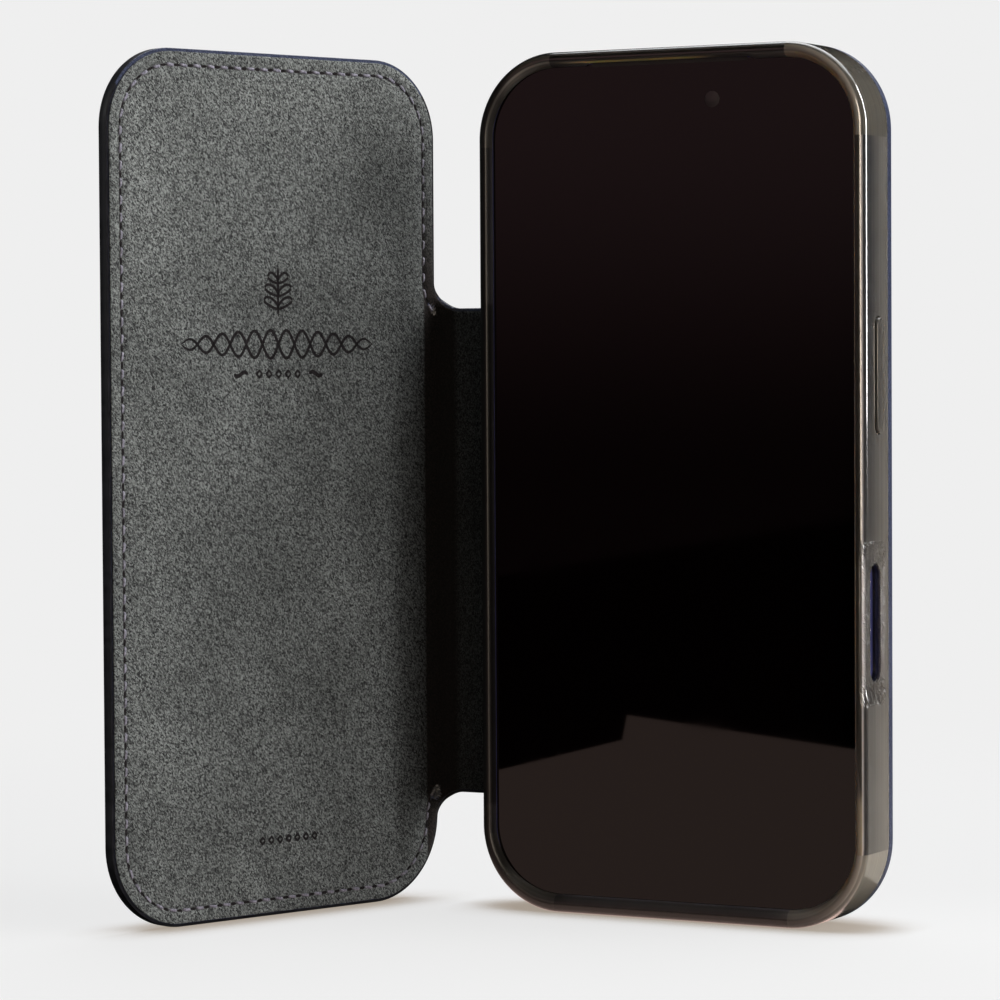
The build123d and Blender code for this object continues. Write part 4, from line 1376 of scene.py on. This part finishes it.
def studio_floor():
    """A floor that curves up behind the case. Reflections don't show it: the cards stand in for it there."""
    bend = [(SWEEP_BACK + SWEEP_CURVE * math.sin(a), SWEEP_CURVE * (1 - math.cos(a)))
            for a in np.linspace(0, math.pi / 2, 12)]
    profile = [(-SWEEP_SIZE, 0.0), *bend, (SWEEP_BACK + SWEEP_CURVE, SWEEP_SIZE)]
    vertices = [(x, y, z) for x in (-SWEEP_SIZE, SWEEP_SIZE) for y, z in profile]
    count = len(profile)
    faces = [(i, i + 1, count + i + 1, count + i) for i in range(count - 1)]
    floor = make_object("studio_sweep", vertices, faces, [floor_material()])
    floor.rotation_euler = (0.0, 0.0, SWEEP_TURN)
    floor.visible_glossy = False
    floor.visible_diffuse = False


def stage():
    """The floor and the cards round it, with their corners in millimetres. Gives the two cards that don't
    reflect in the leather."""
    studio_floor()
    table = [(-160, -295, 0), (-192, -360, 0), (-96, -298.5, 0), (99.5, -237, 0), (110, -60, 0), (60, 5, 0),
             (-140, 5, 0), (-152.6, -219, 0)]
    rear_floor = [(60, 20, 0), (2350, 1950, 0), (2400, 5000, 0), (-800, 5000, 0), (-140, 20, 0)]
    far_wall = [(-1100, -1209, -80), (-764, -1315, -22), (-574, -1375, 11), (-300, -1462, 60),
                (-300, -1462, 900), (-1100, -1209, 900)]
    reflected_card("rear_floor_card", rear_floor, (0.62, 0.57, 0.50), ("Y", 0.80, 0.07, 0.22))
    return [
        reflected_card("table_card", table, (0.85, 0.60, 0.52)),
        reflected_card("far_wall_card", far_wall, (0.50, 0.30, 0.31), ("Z", 0.03, 0.26, 0.12)),
    ]


BLACK = (0.0, 0.0, 0.0, 1.0)


def reflected_card(name, corners, colour, fade=None):
    """A card that is only seen in reflections, as the rest of a studio is. fade is an axis, the place where
    the card is dim, the place where it is bright and how bright the dim end is."""
    m = Nodes(name, 1.0, Specular_IOR_Level=0.0, Base_Color=BLACK,
              Emission_Color=(*colour, 1.0), Emission_Strength=1.0)
    if fade:
        axis, dim, bright, share = fade
        m.link(m.mix(m.range(m.axis(axis), dim, bright), share, 1.0), m.shader.inputs["Emission Strength"])
    card = make_object(name, corners, [tuple(range(len(corners)))], [m.material])
    card.visible_camera = False
    card.visible_diffuse = False
    card.visible_shadow = False
    return card


def link_light(light, name, pieces, state="INCLUDE"):
    """INCLUDE: the light, or glowing card, shines on these pieces alone. EXCLUDE: on everything but them."""
    group = bpy.data.collections.new(name)
    for piece in pieces:
        group.objects.link(piece)
    for entry in group.collection_objects:
        entry.light_linking.link_state = state
    light.light_linking.receiver_collection = group


def light_the_room(bumper_piece, leathers, cards):
    world = bpy.data.worlds.new("studio")
    world.use_nodes = True
    background = world.node_tree.nodes["Background"]
    background.inputs["Color"].default_value = (0.0055, 0.0050, 0.0050, 1.0)
    background.inputs["Strength"].default_value = 1.0
    bpy.context.scene.world = world
    low_aim, rim_aim, crest_aim = (0.0, 0.0, 0.08), (0.0, 0.0, 0.52), (0.0, 0.0, 0.40)
    key = area_light("key_right", (1.24, 0.32, 0.46), low_aim, (1.15, 1.05), 23.0, (1.0, 0.985, 0.96))
    fill_aim = (-0.05, 0.0, 0.08)
    fill = area_light("fill_right", (1.20, -0.46, 0.40), fill_aim, (0.55, 0.80), 3.0, (1.0, 0.97, 0.94))
    area_light("top_soft", (0.1, 0.75, 1.35), (0.0, 0.1, 0.0), (1.8, 1.2), 26.0, (0.96, 0.98, 1.0))
    rim = area_light("rim_right", (0.85, 0.84, 0.52), rim_aim, (0.24, 0.90), 28.0, (1.0, 1.0, 1.0))
    front = area_light("leather_front", (-0.95, -1.15, 0.75), low_aim, (1.2, 0.9), 7.0, (0.97, 0.98, 1.0))
    crest = area_light("crest_front", (0.95, -1.17, 0.40), crest_aim, (0.46, 0.80), 17.0, (1.0, 0.85, 0.68))
    for lamp in (key, fill):
        lamp.visible_glossy = False
    for lamp in (rim, crest):
        lamp.visible_diffuse = False
    link_light(rim, "rim_lit", [bumper_piece])
    link_light(front, "leather_lit", leathers)
    for card in cards:
        link_light(card, f"{card.name}_unlit", leathers, "EXCLUDE")
    bpy.context.scene.view_settings.view_transform = "Standard"


# ---------------------------------------------------------------- building it
set_camera()
cards = stage()
dress_cad_nodes()
pads()
shell = bumper()
back = back_skin()
bay_sheet()
front_camera()
earpiece()
made = skins()
for (part, kind), skin in made.items():
    crossing_blend(skin, part)
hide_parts("cover_leather", "cover_fold")
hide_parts("cover_lining")
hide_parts("spine_leather", "back_fold")
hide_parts("spine_lining")
stitching()
ornament()
light_the_room(shell, [back, made["cover", "leather"], made["spine", "leather"]], cards)
